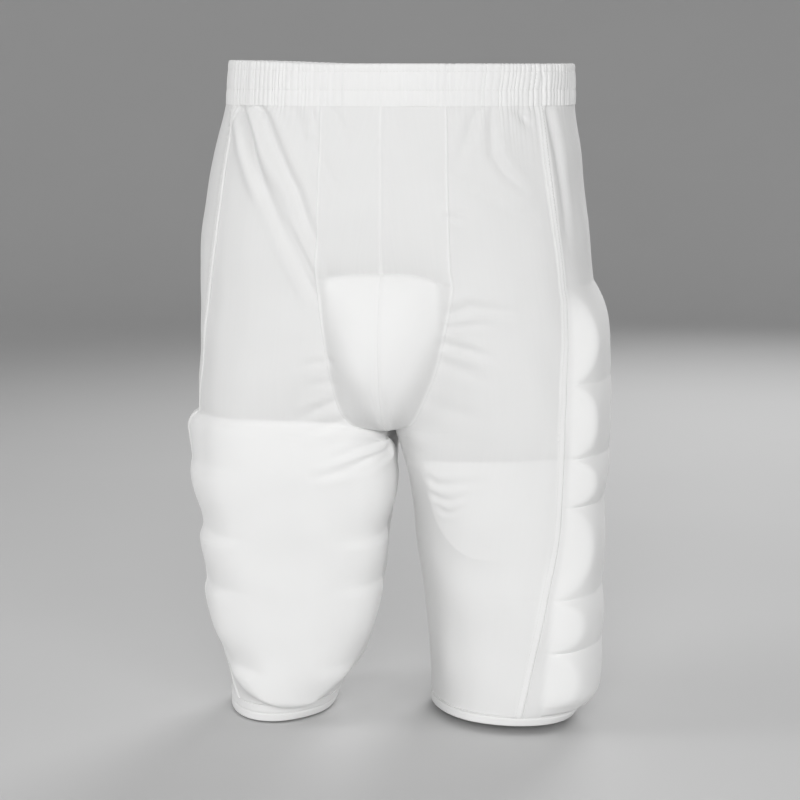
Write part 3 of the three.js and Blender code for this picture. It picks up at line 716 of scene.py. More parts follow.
RUFFLE_MARKS, RUFFLE_DEPTHS = ruffle_marks()
CREASE_PLACES = crease_places()


def ruffle_depth(travel, z):
    """How far a place of the gathered cloth lies below the crests of its gathers."""
    upper, lower = BAND.stitch_rows
    in_top = smooth(z, upper - BAND.tunnel_blend, upper + BAND.tunnel_blend)
    in_bottom = smooth(-z, -lower - BAND.tunnel_blend, -lower + BAND.tunnel_blend)
    lean = BAND.lean * smooth(np.sin(2 * math.pi * travel / WAIST), *BAND.lean_turn)
    place = (travel - lean * np.clip(z, lower, upper)) % WAIST
    gather = np.clip(np.searchsorted(RUFFLE_MARKS, place, side="right") - 1, 0, len(RUFFLE_DEPTHS) - 1)
    t = (place - RUFFLE_MARKS[gather]) / (RUFFLE_MARKS[gather + 1] - RUFFLE_MARKS[gather])
    top, middle, bottom = np.moveaxis(RUFFLE_DEPTHS[gather], -1, 0)
    deep = middle + (top - middle) * in_top + (bottom - middle) * in_bottom
    total = deep * (1 - 4 * t * (1 - t))
    for crease, depth, half_width in CREASE_PLACES:
        total = total + depth * gauss(travel - crease, half_width)
    return total


def gather_relief(p):
    travel = waist_travel(p.half, p.along / p.rows.along[:, -1:])
    below = np.maximum(BAND_BOTTOM - p.z, 0)
    return -ruffle_depth(travel, np.full_like(p.z, BAND_BOTTOM)) * np.exp(-below / BAND.runs_down)


# Slight unevenness of the cloth, as a few long waves that cross at random angles
UNEVEN = SimpleNamespace(seed=21, count=9, lengths=(26.0, 90.0), size=0.16, edge=16.0)


def uneven_relief(p):
    draw = np.random.default_rng(UNEVEN.seed + p.half.sign)
    relief = np.zeros_like(p.x)
    for _ in range(UNEVEN.count):
        length = draw.uniform(*UNEVEN.lengths)
        angle = draw.uniform(0, math.pi)
        phase = draw.uniform(0, 2 * math.pi)
        travel = p.wrap * math.cos(angle) + p.z * math.sin(angle)
        relief += UNEVEN.size * np.sin(2 * math.pi * travel / length + phase)
    to_end = np.minimum(p.along, p.rows.along[:, -1:] - p.along)
    return relief * smooth(to_end, 0, UNEVEN.edge)


WAIST_TUCK = SimpleNamespace(depth=0.1, reach=5.0, folds_from=-2.0)


def relief_at(p):
    """How far the cloth stands out from the base form, all features together."""
    pads = np.maximum.reduce([lift(p) for lift in PAD_LIFTS[p.half.label]])
    folds = fold_relief(p, FRONT_FOLDS[p.half.label])
    folds += fold_relief(p, BACK_FOLDS, behind=True)
    folds *= smooth(BAND_BOTTOM - p.z, WAIST_TUCK.folds_from, WAIST_TUCK.reach)
    tuck = WAIST_TUCK.depth * gauss(p.z - BAND_BOTTOM, WAIST_TUCK.reach)
    loose = gather_relief(p) + uneven_relief(p) - tuck
    loose -= sum(sunk(p) for sunk in HOLLOWS[p.half.label])
    return pads + folds + loose + seam_relief(p)


# How white the cloth is painted: whiter over foam, seam allowances and the side strip, as a sheer cloth is,
# and partly as painted light;
# darker as painted shade (hollow) where it hangs free over hollows, by the pads' top creases and under the
# thigh pad's tip
BACKING_AND_PAINTED_SHADE = SimpleNamespace(
    free=0.45, hollow=0.42, painted_shade_reach=13.0, gusset_edge=4, tip_shadow_reach=30.0, thigh_painted_shade=0.5,
    thigh_painted_shade_share=(0.6, 1.1), front_painted_shade=0.6, front_pad=0.35, seam=0.9, seam_half_width=1.5, strip=0.95,
)
# How far inside a pad's border its whiteness is whole
FOAM_EDGE = SimpleNamespace(top=(-1, 3), cup_side=7, border=8, block_front=4, block_top=30, front_pad=5)
WHITE_SEAMS = {"centre_front": 0.0, "gusset": -LIP.at}


def pads_behind_and_painted_light(p):
    """Where the cloth is whitened over foam, from 0 to 1; on the left leg's front all the cloth below the
    front pad's top line is whitened, past the pad's arc, as painted light.
    """
    half_width, share, crease = cup_frame(p)
    foam = np.interp(p.z, (CUP.bottom, CUP.top), CUP_FOAM[p.half.label])
    cup = smooth(foam - share, *CUP.foam_edge) * smooth(crease - p.z, *FOAM_EDGE.top) * (p.z > CUP.bottom)
    cup = cup * smooth(half_width - p.along, 0, FOAM_EDGE.cup_side)
    if p.half is RIGHT:
        offset, reach = thigh_frame(p)
        thigh = smooth(reach - np.abs(offset), 0, FOAM_EDGE.border) * smooth(THIGH.top - p.z, *FOAM_EDGE.top)
        return np.maximum(cup, thigh)
    inside, _ = side_frame(p)
    blocks = smooth(inside, 0, FOAM_EDGE.block_front) * smooth(SIDE.width - inside, 0, FOAM_EDGE.border)
    blocks = blocks * smooth(SIDE.top - p.z, 0, FOAM_EDGE.block_top)
    _, to_seam, below = front_frame(p)
    # Painted light: the whole lower front of the left leg is whitened, not only the foam inside the arc
    front = smooth(below, *FOAM_EDGE.top) * smooth(to_seam, 0, FOAM_EDGE.front_pad) * p.in_front
    return np.maximum.reduce([cup, blocks, BACKING_AND_PAINTED_SHADE.front_pad * front])


def painted_shade_at(p):
    """Painted shade where the cloth hangs free over a hollow beside a pad, from 0 to 1: by the cup's top
    crease, along the thigh pad's top and under its tip, and along the front pad's top.
    """
    _, _, crease = cup_frame(p)
    in_gusset = smooth(p.lines["gusset"] - p.along, 0, BACKING_AND_PAINTED_SHADE.gusset_edge)
    painted_shade = np.exp(-np.maximum(p.z - crease, 0) / BACKING_AND_PAINTED_SHADE.painted_shade_reach) * in_gusset
    if p.half is RIGHT:
        offset, reach = thigh_frame(p)
        near_top = np.exp(-np.abs(p.z - THIGH.top) / BACKING_AND_PAINTED_SHADE.painted_shade_reach)
        inside = 1 - smooth(np.abs(offset) / reach, *BACKING_AND_PAINTED_SHADE.thigh_painted_shade_share)
        painted_shade = np.maximum(painted_shade, BACKING_AND_PAINTED_SHADE.thigh_painted_shade * near_top * inside)
        # Painted shadow under the thigh pad's tip
        return np.maximum(painted_shade, near_tip(p, offset, reach, BACKING_AND_PAINTED_SHADE.tip_shadow_reach))
    _, _, below = front_frame(p)
    near_top = np.exp(-np.abs(below) / BACKING_AND_PAINTED_SHADE.painted_shade_reach)
    return np.maximum(painted_shade, BACKING_AND_PAINTED_SHADE.front_painted_shade * near_top * p.in_front)


def backing_and_painted_shade_at(p):
    """How white the cloth is painted, from 0 where painted shade darkens it over a hollow to 1 over foam,
    where it is whiter partly as painted light.
    """
    # Painted shade darkens the free cloth over hollows, and foam whitens it
    backing_and_painted_shade = BACKING_AND_PAINTED_SHADE.free - BACKING_AND_PAINTED_SHADE.hollow * painted_shade_at(p)
    backing_and_painted_shade = backing_and_painted_shade + (1 - backing_and_painted_shade) * pads_behind_and_painted_light(p)
    for name, beside in WHITE_SEAMS.items():
        near = BACKING_AND_PAINTED_SHADE.seam * gauss(p.lines[name] - p.along + beside, BACKING_AND_PAINTED_SHADE.seam_half_width)
        backing_and_painted_shade = np.maximum(backing_and_painted_shade, near)
    # The flat strip by the side seam is painted whiter, partly for its seam allowance and partly as painted
    # light
    return np.maximum(backing_and_painted_shade, BACKING_AND_PAINTED_SHADE.strip * strip_share(p))


# Meshes
SHARP_ANGLE = math.radians(55)


def mesh_object(name, points, quads, corner_uv, material):
    """A mesh object from points in millimetres, four-cornered faces and a place on the cloth per corner."""
    mesh = bpy.data.meshes.new(name)
    mesh.vertices.add(len(points))
    mesh.vertices.foreach_set("co", (points * MM).ravel())
    mesh.loops.add(quads.size)
    mesh.loops.foreach_set("vertex_index", quads.ravel())
    mesh.polygons.add(len(quads))
    mesh.polygons.foreach_set("loop_start", np.arange(0, quads.size, 4))
    mesh.polygons.foreach_set("use_smooth", np.ones(len(quads), bool))
    mesh.update(calc_edges=True)
    layer = mesh.uv_layers.new(name="cloth")
    layer.data.foreach_set("uv", (corner_uv * MM).ravel())
    mesh.validate()
    mesh.set_sharp_from_angle(angle=SHARP_ANGLE)
    mesh.materials.append(material)
    made = bpy.data.objects.new(name, mesh)
    bpy.context.collection.objects.link(made)
    return made


def inside_out(points, quads):
    """Whether closed faces point inwards, read from the sign of the volume that they enclose."""
    corner = points[quads]
    first = np.cross(corner[:, 1], corner[:, 2])
    second = np.cross(corner[:, 2], corner[:, 3])
    volume = np.einsum("ij,ij->", corner[:, 0], first) + np.einsum("ij,ij->", corner[:, 0], second)
    return volume < 0


def wall_between(name, outer, inner, uv, material):
    """A closed wall between two grids of points that have the same rows and columns."""
    rows, columns = outer.shape[:2]
    front, back = np.arange(2 * rows * columns).reshape(2, rows, columns)

    def cells(a, b, c, d):
        return np.stack([a, b, c, d], axis=-1).reshape(-1, 4)

    quads = [
        cells(front[:-1, :-1], front[1:, :-1], front[1:, 1:], front[:-1, 1:]),
        cells(back[:-1, :-1], back[:-1, 1:], back[1:, 1:], back[1:, :-1]),
    ]
    for edge_front, edge_back, turned in (
        (front[0], back[0], False), (front[-1], back[-1], True),
        (front[:, 0], back[:, 0], True), (front[:, -1], back[:, -1], False),
    ):
        strip = cells(edge_front[:-1], edge_front[1:], edge_back[1:], edge_back[:-1])
        quads.append(strip[:, ::-1] if turned else strip)
    quads = np.concatenate(quads)
    points = np.concatenate([outer.reshape(-1, 3), inner.reshape(-1, 3)])
    if inside_out(points, quads):
        quads = quads[:, ::-1]
    places = np.concatenate([uv.reshape(-1, 2)] * 2)
    return mesh_object(name, points, quads, places[quads], material)


def set_backing_and_painted_shade(made, values):
    """Stores how white the cloth is painted at each point, painted shade included, for its material."""
    backing_and_painted_shade = made.data.attributes.new("backing_and_painted_shade", "FLOAT", "POINT")
    backing_and_painted_shade.data.foreach_set("value", values)


def declare(made, node_name):
    """Says what a piece moves with, and hides the node part that it replaces."""
    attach(made, "root")
    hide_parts(node_name)


# Panels, with closer rows and columns where the cloth bends sharply
SHELL_TOP = BAND_BOTTOM - PANEL_GAP
SHELL_BOTTOM = HEM_TOP + HEM_GAP
SEAM_STEPS = (0.45, 0.55, 0.7, 0.9, 1.2, 1.6)
LEAST_CELLS = 4


def stepped_down(coarse, fine, marks, reach):
    """Heights from the shell's top down to its bottom, closer together near the marks."""
    heights = [SHELL_TOP]
    while heights[-1] > SHELL_BOTTOM:
        near = min(abs(heights[-1] - mark) for mark in marks)
        heights.append(heights[-1] - (fine if near < reach else coarse))
    heights = np.array(heights)
    return SHELL_TOP + (heights - SHELL_TOP) * (SHELL_BOTTOM - SHELL_TOP) / (heights[-1] - SHELL_TOP)


def edge_spaced(width, coarse):
    """Shares from 0 to 1 across a panel, closer together towards its two seams."""
    between = width - 2 * sum(SEAM_STEPS)
    count = max(LEAST_CELLS, round(between / coarse))
    cells = [*SEAM_STEPS, *[between / count] * count, *SEAM_STEPS[::-1]]
    travelled = np.concatenate([[0], np.cumsum(cells)])
    return travelled / travelled[-1]


FRONT_MARKS = (-156, -160, -281, -286, -294, -310, -386, -395, -434, -532)
SIDE_MARKS = (-249, -311, -352, -431, -477, -280)
BACK_MARKS = (-294,)
FRONT_ROWS = stepped_down(coarse=2.2, fine=1.1, marks=FRONT_MARKS, reach=5)
SIDE_ROWS = stepped_down(coarse=2.4, fine=1.3, marks=SIDE_MARKS, reach=5)
BACK_ROWS = stepped_down(coarse=3.4, fine=1.6, marks=BACK_MARKS, reach=8)
# Each panel's node, its two seams, its rows and its widest column
PANELS = (
    ("gusset", "centre_front", "gusset", FRONT_ROWS[FRONT_ROWS > CROTCH], 2.0),
    ("front_panel", "gusset", "side_front", FRONT_ROWS, 2.2),
    ("side_panel", "side_front", "side_back", SIDE_ROWS, 2.8),
    ("back_panel", "side_back", "centre_back", BACK_ROWS, 3.4),
)


def cloth_panel(half, piece, from_seam, to_seam, heights, coarse, material):
    rows = Rows(half, heights)
    start = rows.lines[from_seam] + PANEL_GAP / 2
    width = rows.lines[to_seam] - PANEL_GAP / 2 - start
    share = edge_spaced(width.max(), coarse)
    p = places_at(rows, start[:, None] + width[:, None] * share[None, :])
    relief = relief_at(p)[..., None]
    outer = p.point + p.normal * relief
    inner = p.point + p.normal * (relief - CLOTH)
    name = f"{piece}_{half.label}"
    made = wall_between(f"{name}_cloth", outer, inner, np.stack([p.wrap, p.z], axis=-1), material)
    set_backing_and_painted_shade(made, np.tile(backing_and_painted_shade_at(p).ravel(), 2))
    declare(made, name)


# Materials
def new_material(name):
    material = bpy.data.materials.new(name)
    material.use_nodes = True
    shader = material.node_tree.nodes["Principled BSDF"]
    return material, material.node_tree, shader


def set_inputs(tree, made, inputs):
    """Sets or links a node's inputs by name or number."""
    for key, value in dict(inputs).items():
        if isinstance(value, bpy.types.NodeSocket):
            tree.links.new(value, made.inputs[key])
        else:
            made.inputs[key].default_value = value


def node(tree, kind, inputs=(), **settings):
    """Adds a node, sets its properties, and sets or links its inputs."""
    made = tree.nodes.new(kind)
    for key, value in settings.items():
        setattr(made, key, value)
    set_inputs(tree, made, inputs)
    return made


def math_node(tree, operation, first, second=0.0):
    return node(tree, "ShaderNodeMath", {0: first, 1: second}, operation=operation).outputs[0]


def noise(tree, vector, scale, detail):
    inputs = {"Vector": vector, "Scale": scale, "Detail": detail}
    return node(tree, "ShaderNodeTexNoise", inputs).outputs["Fac"]


def mixed(tree, factor, first, second):
    """A mix of two colours, each a socket or four numbers."""
    inputs = {"Factor": factor, "A": first, "B": second}
    return node(tree, "ShaderNodeMix", inputs, data_type="RGBA").outputs["Result"]


def ranged(tree, value, ends):
    """A value mapped from one range to another, whose ends have the node's own names."""
    return node(tree, "ShaderNodeMapRange", {"Value": value, **ends}).outputs[0]


def bumped(tree, height, strength, distance, **more):
    inputs = {"Height": height, "Strength": strength, "Distance": distance, **more}
    return node(tree, "ShaderNodeBump", inputs).outputs["Normal"]


def object_place(tree):
    return node(tree, "ShaderNodeTexCoord").outputs["Object"]


LOOP = SimpleNamespace(wale=0.0008, course=0.0007, course_share=0.5, depth=0.00015, strength=0.15)
STREAK = SimpleNamespace(stretch=(420, 14, 1), detail=3.0, strength=0.08, depth=0.0004)
CLOUD = SimpleNamespace(scale=9.0, detail=4.0)
# The cloth's colour over foam, whiter partly as painted light
OVER_FOAM_AND_PAINTED_LIGHT = (0.87, 0.87, 0.865, 1)


def knit_material(name, dark, light):
    """White knit: columns of loops along the cloth, fine irregular streaks down it, a soft sheen."""
    material, tree, shader = new_material(name)
    cloth = node(tree, "ShaderNodeUVMap", uv_map="cloth").outputs["UV"]
    parts = node(tree, "ShaderNodeSeparateXYZ", {"Vector": cloth}).outputs
    across = math_node(tree, "MULTIPLY", parts["X"], 2 * math.pi / LOOP.wale)
    down = math_node(tree, "MULTIPLY", parts["Y"], 2 * math.pi / LOOP.course)
    courses = math_node(tree, "MULTIPLY", math_node(tree, "SINE", down), LOOP.course_share)
    loops = math_node(tree, "ADD", math_node(tree, "SINE", across), courses)
    stretched = node(tree, "ShaderNodeMapping", {"Vector": cloth, "Scale": STREAK.stretch}).outputs[0]
    streaks = noise(tree, stretched, scale=1.0, detail=STREAK.detail)
    clouds = noise(tree, object_place(tree), scale=CLOUD.scale, detail=CLOUD.detail)
    tone = ranged(tree, math_node(tree, "ADD", streaks, clouds), {"From Min": 0.5, "From Max": 1.5})
    # The stored value whitens the cloth over foam and seams, partly as painted light, and darkens it with
    # painted shade over hollows and under the thigh pad's tip
    backing_and_painted_shade = node(tree, "ShaderNodeAttribute", attribute_name="backing_and_painted_shade").outputs["Fac"]
    fine = bumped(tree, loops, LOOP.strength, LOOP.depth)
    set_inputs(tree, shader, {
        "Base Color": mixed(tree, backing_and_painted_shade, mixed(tree, tone, dark, light), OVER_FOAM_AND_PAINTED_LIGHT),
        "Roughness": ranged(tree, clouds, {"To Min": 0.72, "To Max": 0.9}),
        "Normal": bumped(tree, streaks, STREAK.strength, STREAK.depth, Normal=fine),
        "Sheen Weight": 0.2,
        "Sheen Roughness": 0.5,
        "Specular IOR Level": 0.25,
    })
    return material


def foam_material():
    """Closed-cell foam: off-white, with fine pores and a soft mottle."""
    material, tree, shader = new_material("pad_foam")
    place = object_place(tree)
    pores = node(tree, "ShaderNodeTexVoronoi", {"Vector": place, "Scale": 620.0}).outputs["Distance"]
    mottle = noise(tree, place, scale=45.0, detail=5.0)
    set_inputs(tree, shader, {
        "Base Color": mixed(tree, mottle, (0.66, 0.66, 0.64, 1), (0.8, 0.8, 0.78, 1)),
        "Roughness": ranged(tree, mottle, {"To Min": 0.8, "To Max": 0.97}),
        "Normal": bumped(tree, pores, strength=0.4, distance=0.0006),
        "Specular IOR Level": 0.2,
    })
    return material


def thread_material():
    """Sewing thread with a fine twist."""
    material, tree, shader = new_material("sewing_thread")
    twist = noise(tree, object_place(tree), scale=1500.0, detail=2.0)
    set_inputs(tree, shader, {
        "Base Color": mixed(tree, twist, (0.74, 0.74, 0.73, 1), (0.88, 0.88, 0.87, 1)),
        "Normal": bumped(tree, twist, strength=0.3, distance=0.0002),
        "Roughness": 0.6,
    })
    return material


KNIT = knit_material("knit_cloth", dark=(0.73, 0.73, 0.725, 1), light=(0.77, 0.77, 0.765, 1))
BAND_CLOTH = knit_material("waistband_cloth", dark=(0.84, 0.84, 0.835, 1), light=(0.89, 0.89, 0.885, 1))
FOAM = foam_material()
THREAD = thread_material()

for half in HALVES:
    for piece, from_seam, to_seam, heights, coarse in PANELS:
        cloth_panel(half, piece, from_seam, to_seam, heights, coarse, KNIT)


# Rings: the waistband and the leg hems, each a closed profile carried round
def ring_mesh(name, points, travel, profile, material):
    """A closed ring from points by profile place and by column, with its measures for the weave."""
    rows, columns = points.shape[:2]
    i = np.arange(rows)[:, None]
    j = np.arange(columns)[None, :]
    next_i = (i + 1) % rows
    next_j = (j + 1) % columns

    def whole(values):
        return np.broadcast_to(values, (rows, columns))

    corners = ((i, j), (next_i, j), (next_i, next_j), (i, next_j))
    quads = np.stack([whole(a * columns + b) for a, b in corners], axis=-1).reshape(-1, 4)
    long_travel = np.concatenate([travel, travel[-1:] + travel[1:2]])
    long_profile = np.concatenate([profile, profile[-1:] + 1])
    ends = ((i, j), (i + 1, j), (i + 1, j + 1), (i, j + 1))
    u = np.stack([whole(long_travel[b]) for _, b in ends], axis=-1)
    v = np.stack([whole(long_profile[a]) for a, _ in ends], axis=-1)
    uv = np.stack([u, v], axis=-1).reshape(-1, 4, 2)
    flat = points.reshape(-1, 3)
    if inside_out(flat, quads):
        quads = quads[:, ::-1]
        uv = uv[:, ::-1]
    return mesh_object(name, flat, quads, uv, material)


def loop_places(z, columns):
    """Base points and normals once round the waist at each height, from the front middle leftwards."""
    left_count = columns // 2
    right_count = columns - left_count
    left = places_round(LEFT, z, np.arange(left_count) / left_count)
    right = places_round(RIGHT, z, 1 - np.arange(right_count) / right_count)
    point = np.concatenate([left.point, right.point], axis=1)
    normal = np.concatenate([left.normal, right.normal], axis=1)
    return point, normal


BAND_PUFF = named_curves(
    "z puff",
    (18, 0.3), (16.8, 0.8), (14, 1), (11.5, 0.9), (7, 1.1), (3, 1.1), (-3.5, 0.8), (-8, 0.75), (-12, 0.45),
    (-15, 0.15), (-16.5, 0),
)["puff"]
# The band's profile: rows on its outer face and inside it, and how it closes at the bottom and the top
BAND_RING = SimpleNamespace(
    outer_rows=38, inner_rows=10, above_bottom=0.2, below_top=0.7, inner_below_top=1.6, top_proud=0.6,
    top_ruffle=0.6, back_ruffle=0.25, weave_step=1.2,
)


def band_face(travel, z):
    """How far the waistband's outer face stands out at each height and place round it."""
    puff = BAND_PUFF(z)
    for row in BAND.stitch_rows:
        puff = puff - BAND.stitch_depth * gauss(z - row, BAND.stitch_half_width)
    return puff - ruffle_depth(travel, z)


def band_places(z, offset_of):
    """Points of the band at each height, where a function of travel and height says how far out."""
    point, normal = loop_places(z, BAND.columns)
    travel = np.broadcast_to(np.arange(BAND.columns) * WAIST / BAND.columns, point.shape[:2])
    height = np.broadcast_to(z[:, None], point.shape[:2])
    points = point + normal * offset_of(travel, height)[..., None]
    on_right = smooth(-point[..., 0], *BAND.rise_across)
    lifted = BAND.right_rise * on_right * smooth(height, BAND.rise_from, BAND_TOP)
    near_top = smooth(height, BAND_TOP - BAND.drop_reach, BAND_TOP)
    dropped = BAND.ruffle_drop * near_top * ruffle_depth(travel, height)
    points[..., 2] += lifted - dropped
    return points, normal, travel


def make_waistband():
    ring = BAND_RING
    outer_z = np.linspace(BAND_BOTTOM + ring.above_bottom, BAND_TOP - ring.below_top, ring.outer_rows)
    inner_z = np.linspace(BAND_TOP - ring.inner_below_top, BAND_BOTTOM, ring.inner_rows)
    z = np.concatenate([[BAND_BOTTOM], outer_z, [BAND_TOP], inner_z])
    order = np.arange(len(z))[:, None]
    on_outer = order <= len(outer_z)
    on_top = order == len(outer_z) + 1

    def offset_of(travel, height):
        ruffle = ruffle_depth(travel, height)
        face = band_face(travel, height)
        edge = ring.top_proud - BAND.wall / 2 - ring.top_ruffle * ruffle
        back = ring.back_ruffle * ruffle - BAND.wall
        return np.where(on_outer, face, np.where(on_top, edge, back))

    points, _, travel = band_places(z, offset_of)
    profile = np.cumsum(np.full(len(z), ring.weave_step))
    made = ring_mesh("waistband_gathered", points, travel[0], profile, BAND_CLOTH)
    declare(made, "waistband")


HEM = SimpleNamespace(
    columns=260, proud=0.5, wall=2.6, stitch_above=7.4, stitch_below_top=0.8, stitch_depth=0.6,
    stitch_half_width=0.9, wave=0.5, waves=5, turned=1.6, white=0.75, outer_rows=26, inner_rows=5, lip=1.2,
    roll=0.3, roll_in=0.5, weave_step=1.4,
)
HEM_SHARES = np.arange(HEM.columns) / HEM.columns


def hem_face(half, z):
    """How far a hem's outer face stands out, with a groove along its row of stitches."""
    above = z - HEM_BOTTOM[half.label] - HEM.stitch_above
    return HEM.proud - HEM.stitch_depth * gauss(above, HEM.stitch_half_width)


def hem_wave(half):
    return HEM.wave * np.sin(2 * math.pi * HEM.waves * HEM_SHARES + half.sign)


def make_hem(half):
    bottom = HEM_BOTTOM[half.label]
    outer_z = np.linspace(HEM_TOP, bottom + HEM.lip, HEM.outer_rows)
    inner_z = np.linspace(bottom + HEM.lip, HEM_TOP, HEM.inner_rows)
    z = np.concatenate([outer_z, [bottom + HEM.roll, bottom, bottom + HEM.roll], inner_z])
    back = HEM.proud - HEM.wall
    rolled = [HEM.proud - HEM.roll_in, HEM.proud - HEM.wall / 2, back + HEM.roll_in]
    outwards = np.concatenate([hem_face(half, outer_z), rolled, np.full(len(inner_z), back)])
    p = places_round(half, z, HEM_SHARES)
    girth = p.rows.along[:, -1].mean()
    points = p.point + p.normal * (outwards[:, None] + hem_wave(half)[None, :])[..., None]
    profile = np.cumsum(np.full(len(z), HEM.weave_step))
    made = ring_mesh(f"hem_{half.label}_turned", points, HEM_SHARES * girth, profile, KNIT)
    set_backing_and_painted_shade(made, np.full(len(made.data.vertices), HEM.white))
    declare(made, f"hem_{half.label}")


make_waistband()
for half in HALVES:
    make_hem(half)


# Foam pads behind the cloth
PAD = SimpleNamespace(behind=CLOTH + 2.5, crown_power=6, pull_in=1.5)


def pad_columns(halves, columns):
    """Places across a pad by half, from -1 to 1; a pad on both halves is parted in the middle."""
    q = np.linspace(-1, 1, columns)
    if len(halves) == 1:
        return {halves[0]: q}
    return {RIGHT: q[q < 0], LEFT: q[q >= 0]}


def pad_object(name, halves, top, bottom, grid, along_of, lift, fill, base, fullness):
    """A crowned pad: its face follows the cloth's lift and its edges close in a rounded border.

    Its grid is its number of rows and of columns, fill is its share of the lift, and base is the
    thickness that it keeps where there is no lift.
    """
    row_count, column_count = grid
    height = np.linspace(-1, 1, row_count)[:, None]
    outer = []
    inner = []
    uv = []
    for half, across in pad_columns(halves, column_count).items():
        rows = Rows(half, np.linspace(top, bottom, row_count))
        p = places_at(rows, along_of(rows, across))
        flat_ends = (1 - np.abs(across[None, :]) ** PAD.crown_power) * (1 - np.abs(height) ** PAD.crown_power)
        crown = flat_ends**0.5
        pulled = PAD.pull_in * (1 - crown)
        face = fill * lift(p) * crown - PAD.behind - pulled
        back = -PAD.behind - base + pulled
        outer.append(p.point + p.normal * face[..., None])
        inner.append(p.point + p.normal * back[..., None])
        uv.append(np.stack([p.along, p.z], axis=-1))
    joined = (np.concatenate(parts, axis=1) for parts in (outer, inner, uv))
    made = wall_between(f"{name}_foam", *joined, FOAM)
    return SimpleNamespace(made=made, node=name, fullness=fullness)


# The pads are swollen by a cloth simulation with air pressure inside and no weight
SWELL = SimpleNamespace(voxel=0.0035, pressure=4.0, frames=20, cap=0.0013, least_move=1e-9)


def apply_modifier(made, kind, **settings):
    """Adds a modifier with the given settings and makes its result the object's mesh."""
    modifier = made.modifiers.new(kind.lower(), kind)
    for key, value in settings.items():
        setattr(modifier, key, value)
    evaluated = made.evaluated_get(bpy.context.evaluated_depsgraph_get())
    mesh = bpy.data.meshes.new_from_object(evaluated)
    made.modifiers.clear()
    made.data = mesh


def mesh_places(mesh):
    places = np.empty(3 * len(mesh.vertices))
    mesh.vertices.foreach_get("co", places)
    return places.reshape(-1, 3)


def simulate(objects, settings, frames):
    """Runs cloth on the objects side by side, and gives each one's vertex movement."""
    for made in objects:
        cloth = made.modifiers.new("cloth", "CLOTH").settings
        cloth.effector_weights.gravity = 0
        for key, value in settings.items():
            setattr(cloth, key, value)
    scene = bpy.context.scene
    for step in range(1, frames + 1):
        scene.frame_set(step)
    graph = bpy.context.evaluated_depsgraph_get()
    moved = [mesh_places(made.evaluated_get(graph).data) - mesh_places(made.data) for made in objects]
    for made in objects:
        made.modifiers.clear()
    scene.frame_set(1)
    return moved


def capped(movement, most):
    length = np.linalg.norm(movement, axis=-1, keepdims=True)
    return movement * np.minimum(1, most / np.maximum(length, SWELL.least_move))


def swell(pads):
    for pad in pads:
        apply_modifier(pad.made, "REMESH", mode="VOXEL", voxel_size=SWELL.voxel)
    settings = {"use_pressure": True, "uniform_pressure_force": SWELL.pressure}
    movements = simulate([pad.made for pad in pads], settings, SWELL.frames)
    for pad, movement in zip(pads, movements):
        mesh = pad.made.data
        mesh.vertices.foreach_set("co", (mesh_places(mesh) + capped(movement, SWELL.cap)).ravel())
        apply_modifier(pad.made, "SUBSURF", levels=1, render_levels=1)
        pad.made.data.polygons.foreach_set("use_smooth", np.ones(len(pad.made.data.polygons), bool))


# How far each pad stays inside its outline on the cloth
CUP_PAD = SimpleNamespace(to_seam=13, least=5)
THIGH_PAD = SimpleNamespace(to_border=18, least=18)
SIDE_PAD = SimpleNamespace(behind_seam=4, to_border=16, end_gap=2.5)
FRONT_PAD = SimpleNamespace(to_border=4)
SIDE_PAD_ENDS = (-197, -249, -311, -352, -431, -477, -523)


def cup_along(rows, q):
    reach = np.maximum(CUP_PAD.least, rows.lines["gusset"] - CUP_PAD.to_seam)
    return np.abs(q)[None, :] * reach[:, None]


def thigh_along(rows, q):
    middle, inner, outer = thigh_outline(rows)
    reach = np.where(q[None, :] < 0, inner, outer)
    return middle + q[None, :] * np.maximum(THIGH_PAD.least, reach - THIGH_PAD.to_border)


def side_along(rows, q):
    middle = rows.lines["side_front"] + SIDE_PAD.behind_seam + SIDE.width / 2
    return middle[:, None] + q[None, :] * (SIDE.width / 2 - SIDE_PAD.to_border)


def front_along(rows, q):
    down = np.clip((FRONT.centre_z - rows.z) / FRONT.half_height, 0, 1)
    reach = FRONT.half_width * (1 - down**FRONT.roundness) ** (1 / FRONT.roundness)
    start = rows.along_at(FRONT.centre - reach) + FRONT_PAD.to_border
    stop = rows.lines["side_front"] - FRONT.to_seam - FRONT_PAD.to_border
    return start[:, None] + (stop - start)[:, None] * (q[None, :] + 1) / 2


PADS = [
    pad_object(
        "cup_pad", HALVES, top=-165, bottom=-281, grid=(36, 30), along_of=cup_along, lift=cup_lift,
        fill=0.8, base=4, fullness=0.8,
    ),
    pad_object(
        "thigh_pad_right", (RIGHT,), top=-298, bottom=-518, grid=(64, 56), along_of=thigh_along,
        lift=thigh_lift, fill=0.6, base=5, fullness=0.8,
    ),
    pad_object(
        "front_pad_left", (LEFT,), top=-312, bottom=-392, grid=(26, 34), along_of=front_along,
        lift=front_lift, fill=0.7, base=4, fullness=0.7,
    ),
]
for number, (top, bottom) in enumerate(zip(SIDE_PAD_ENDS[:-1], SIDE_PAD_ENDS[1:]), start=1):
    PADS.append(pad_object(
        f"side_pad_left_{number}", (LEFT,), top=top - SIDE_PAD.end_gap, bottom=bottom + SIDE_PAD.end_gap,
        grid=(20, 26), along_of=side_along, lift=side_lift, fill=0.7, base=5, fullness=0.85,
    ))
swell(PADS)
for pad in PADS:
    declare(pad.made, pad.node)


# Stitches: a node tree sets small threads along a line, each lying flat on the cloth
STITCH_SIZES = {"Pitch": 0.0027, "Length": 0.0019, "Width": 0.00055, "Height": 0.0004}
STITCH_BEAD = {"Segments": 6, "Rings": 4, "Radius": 0.5}


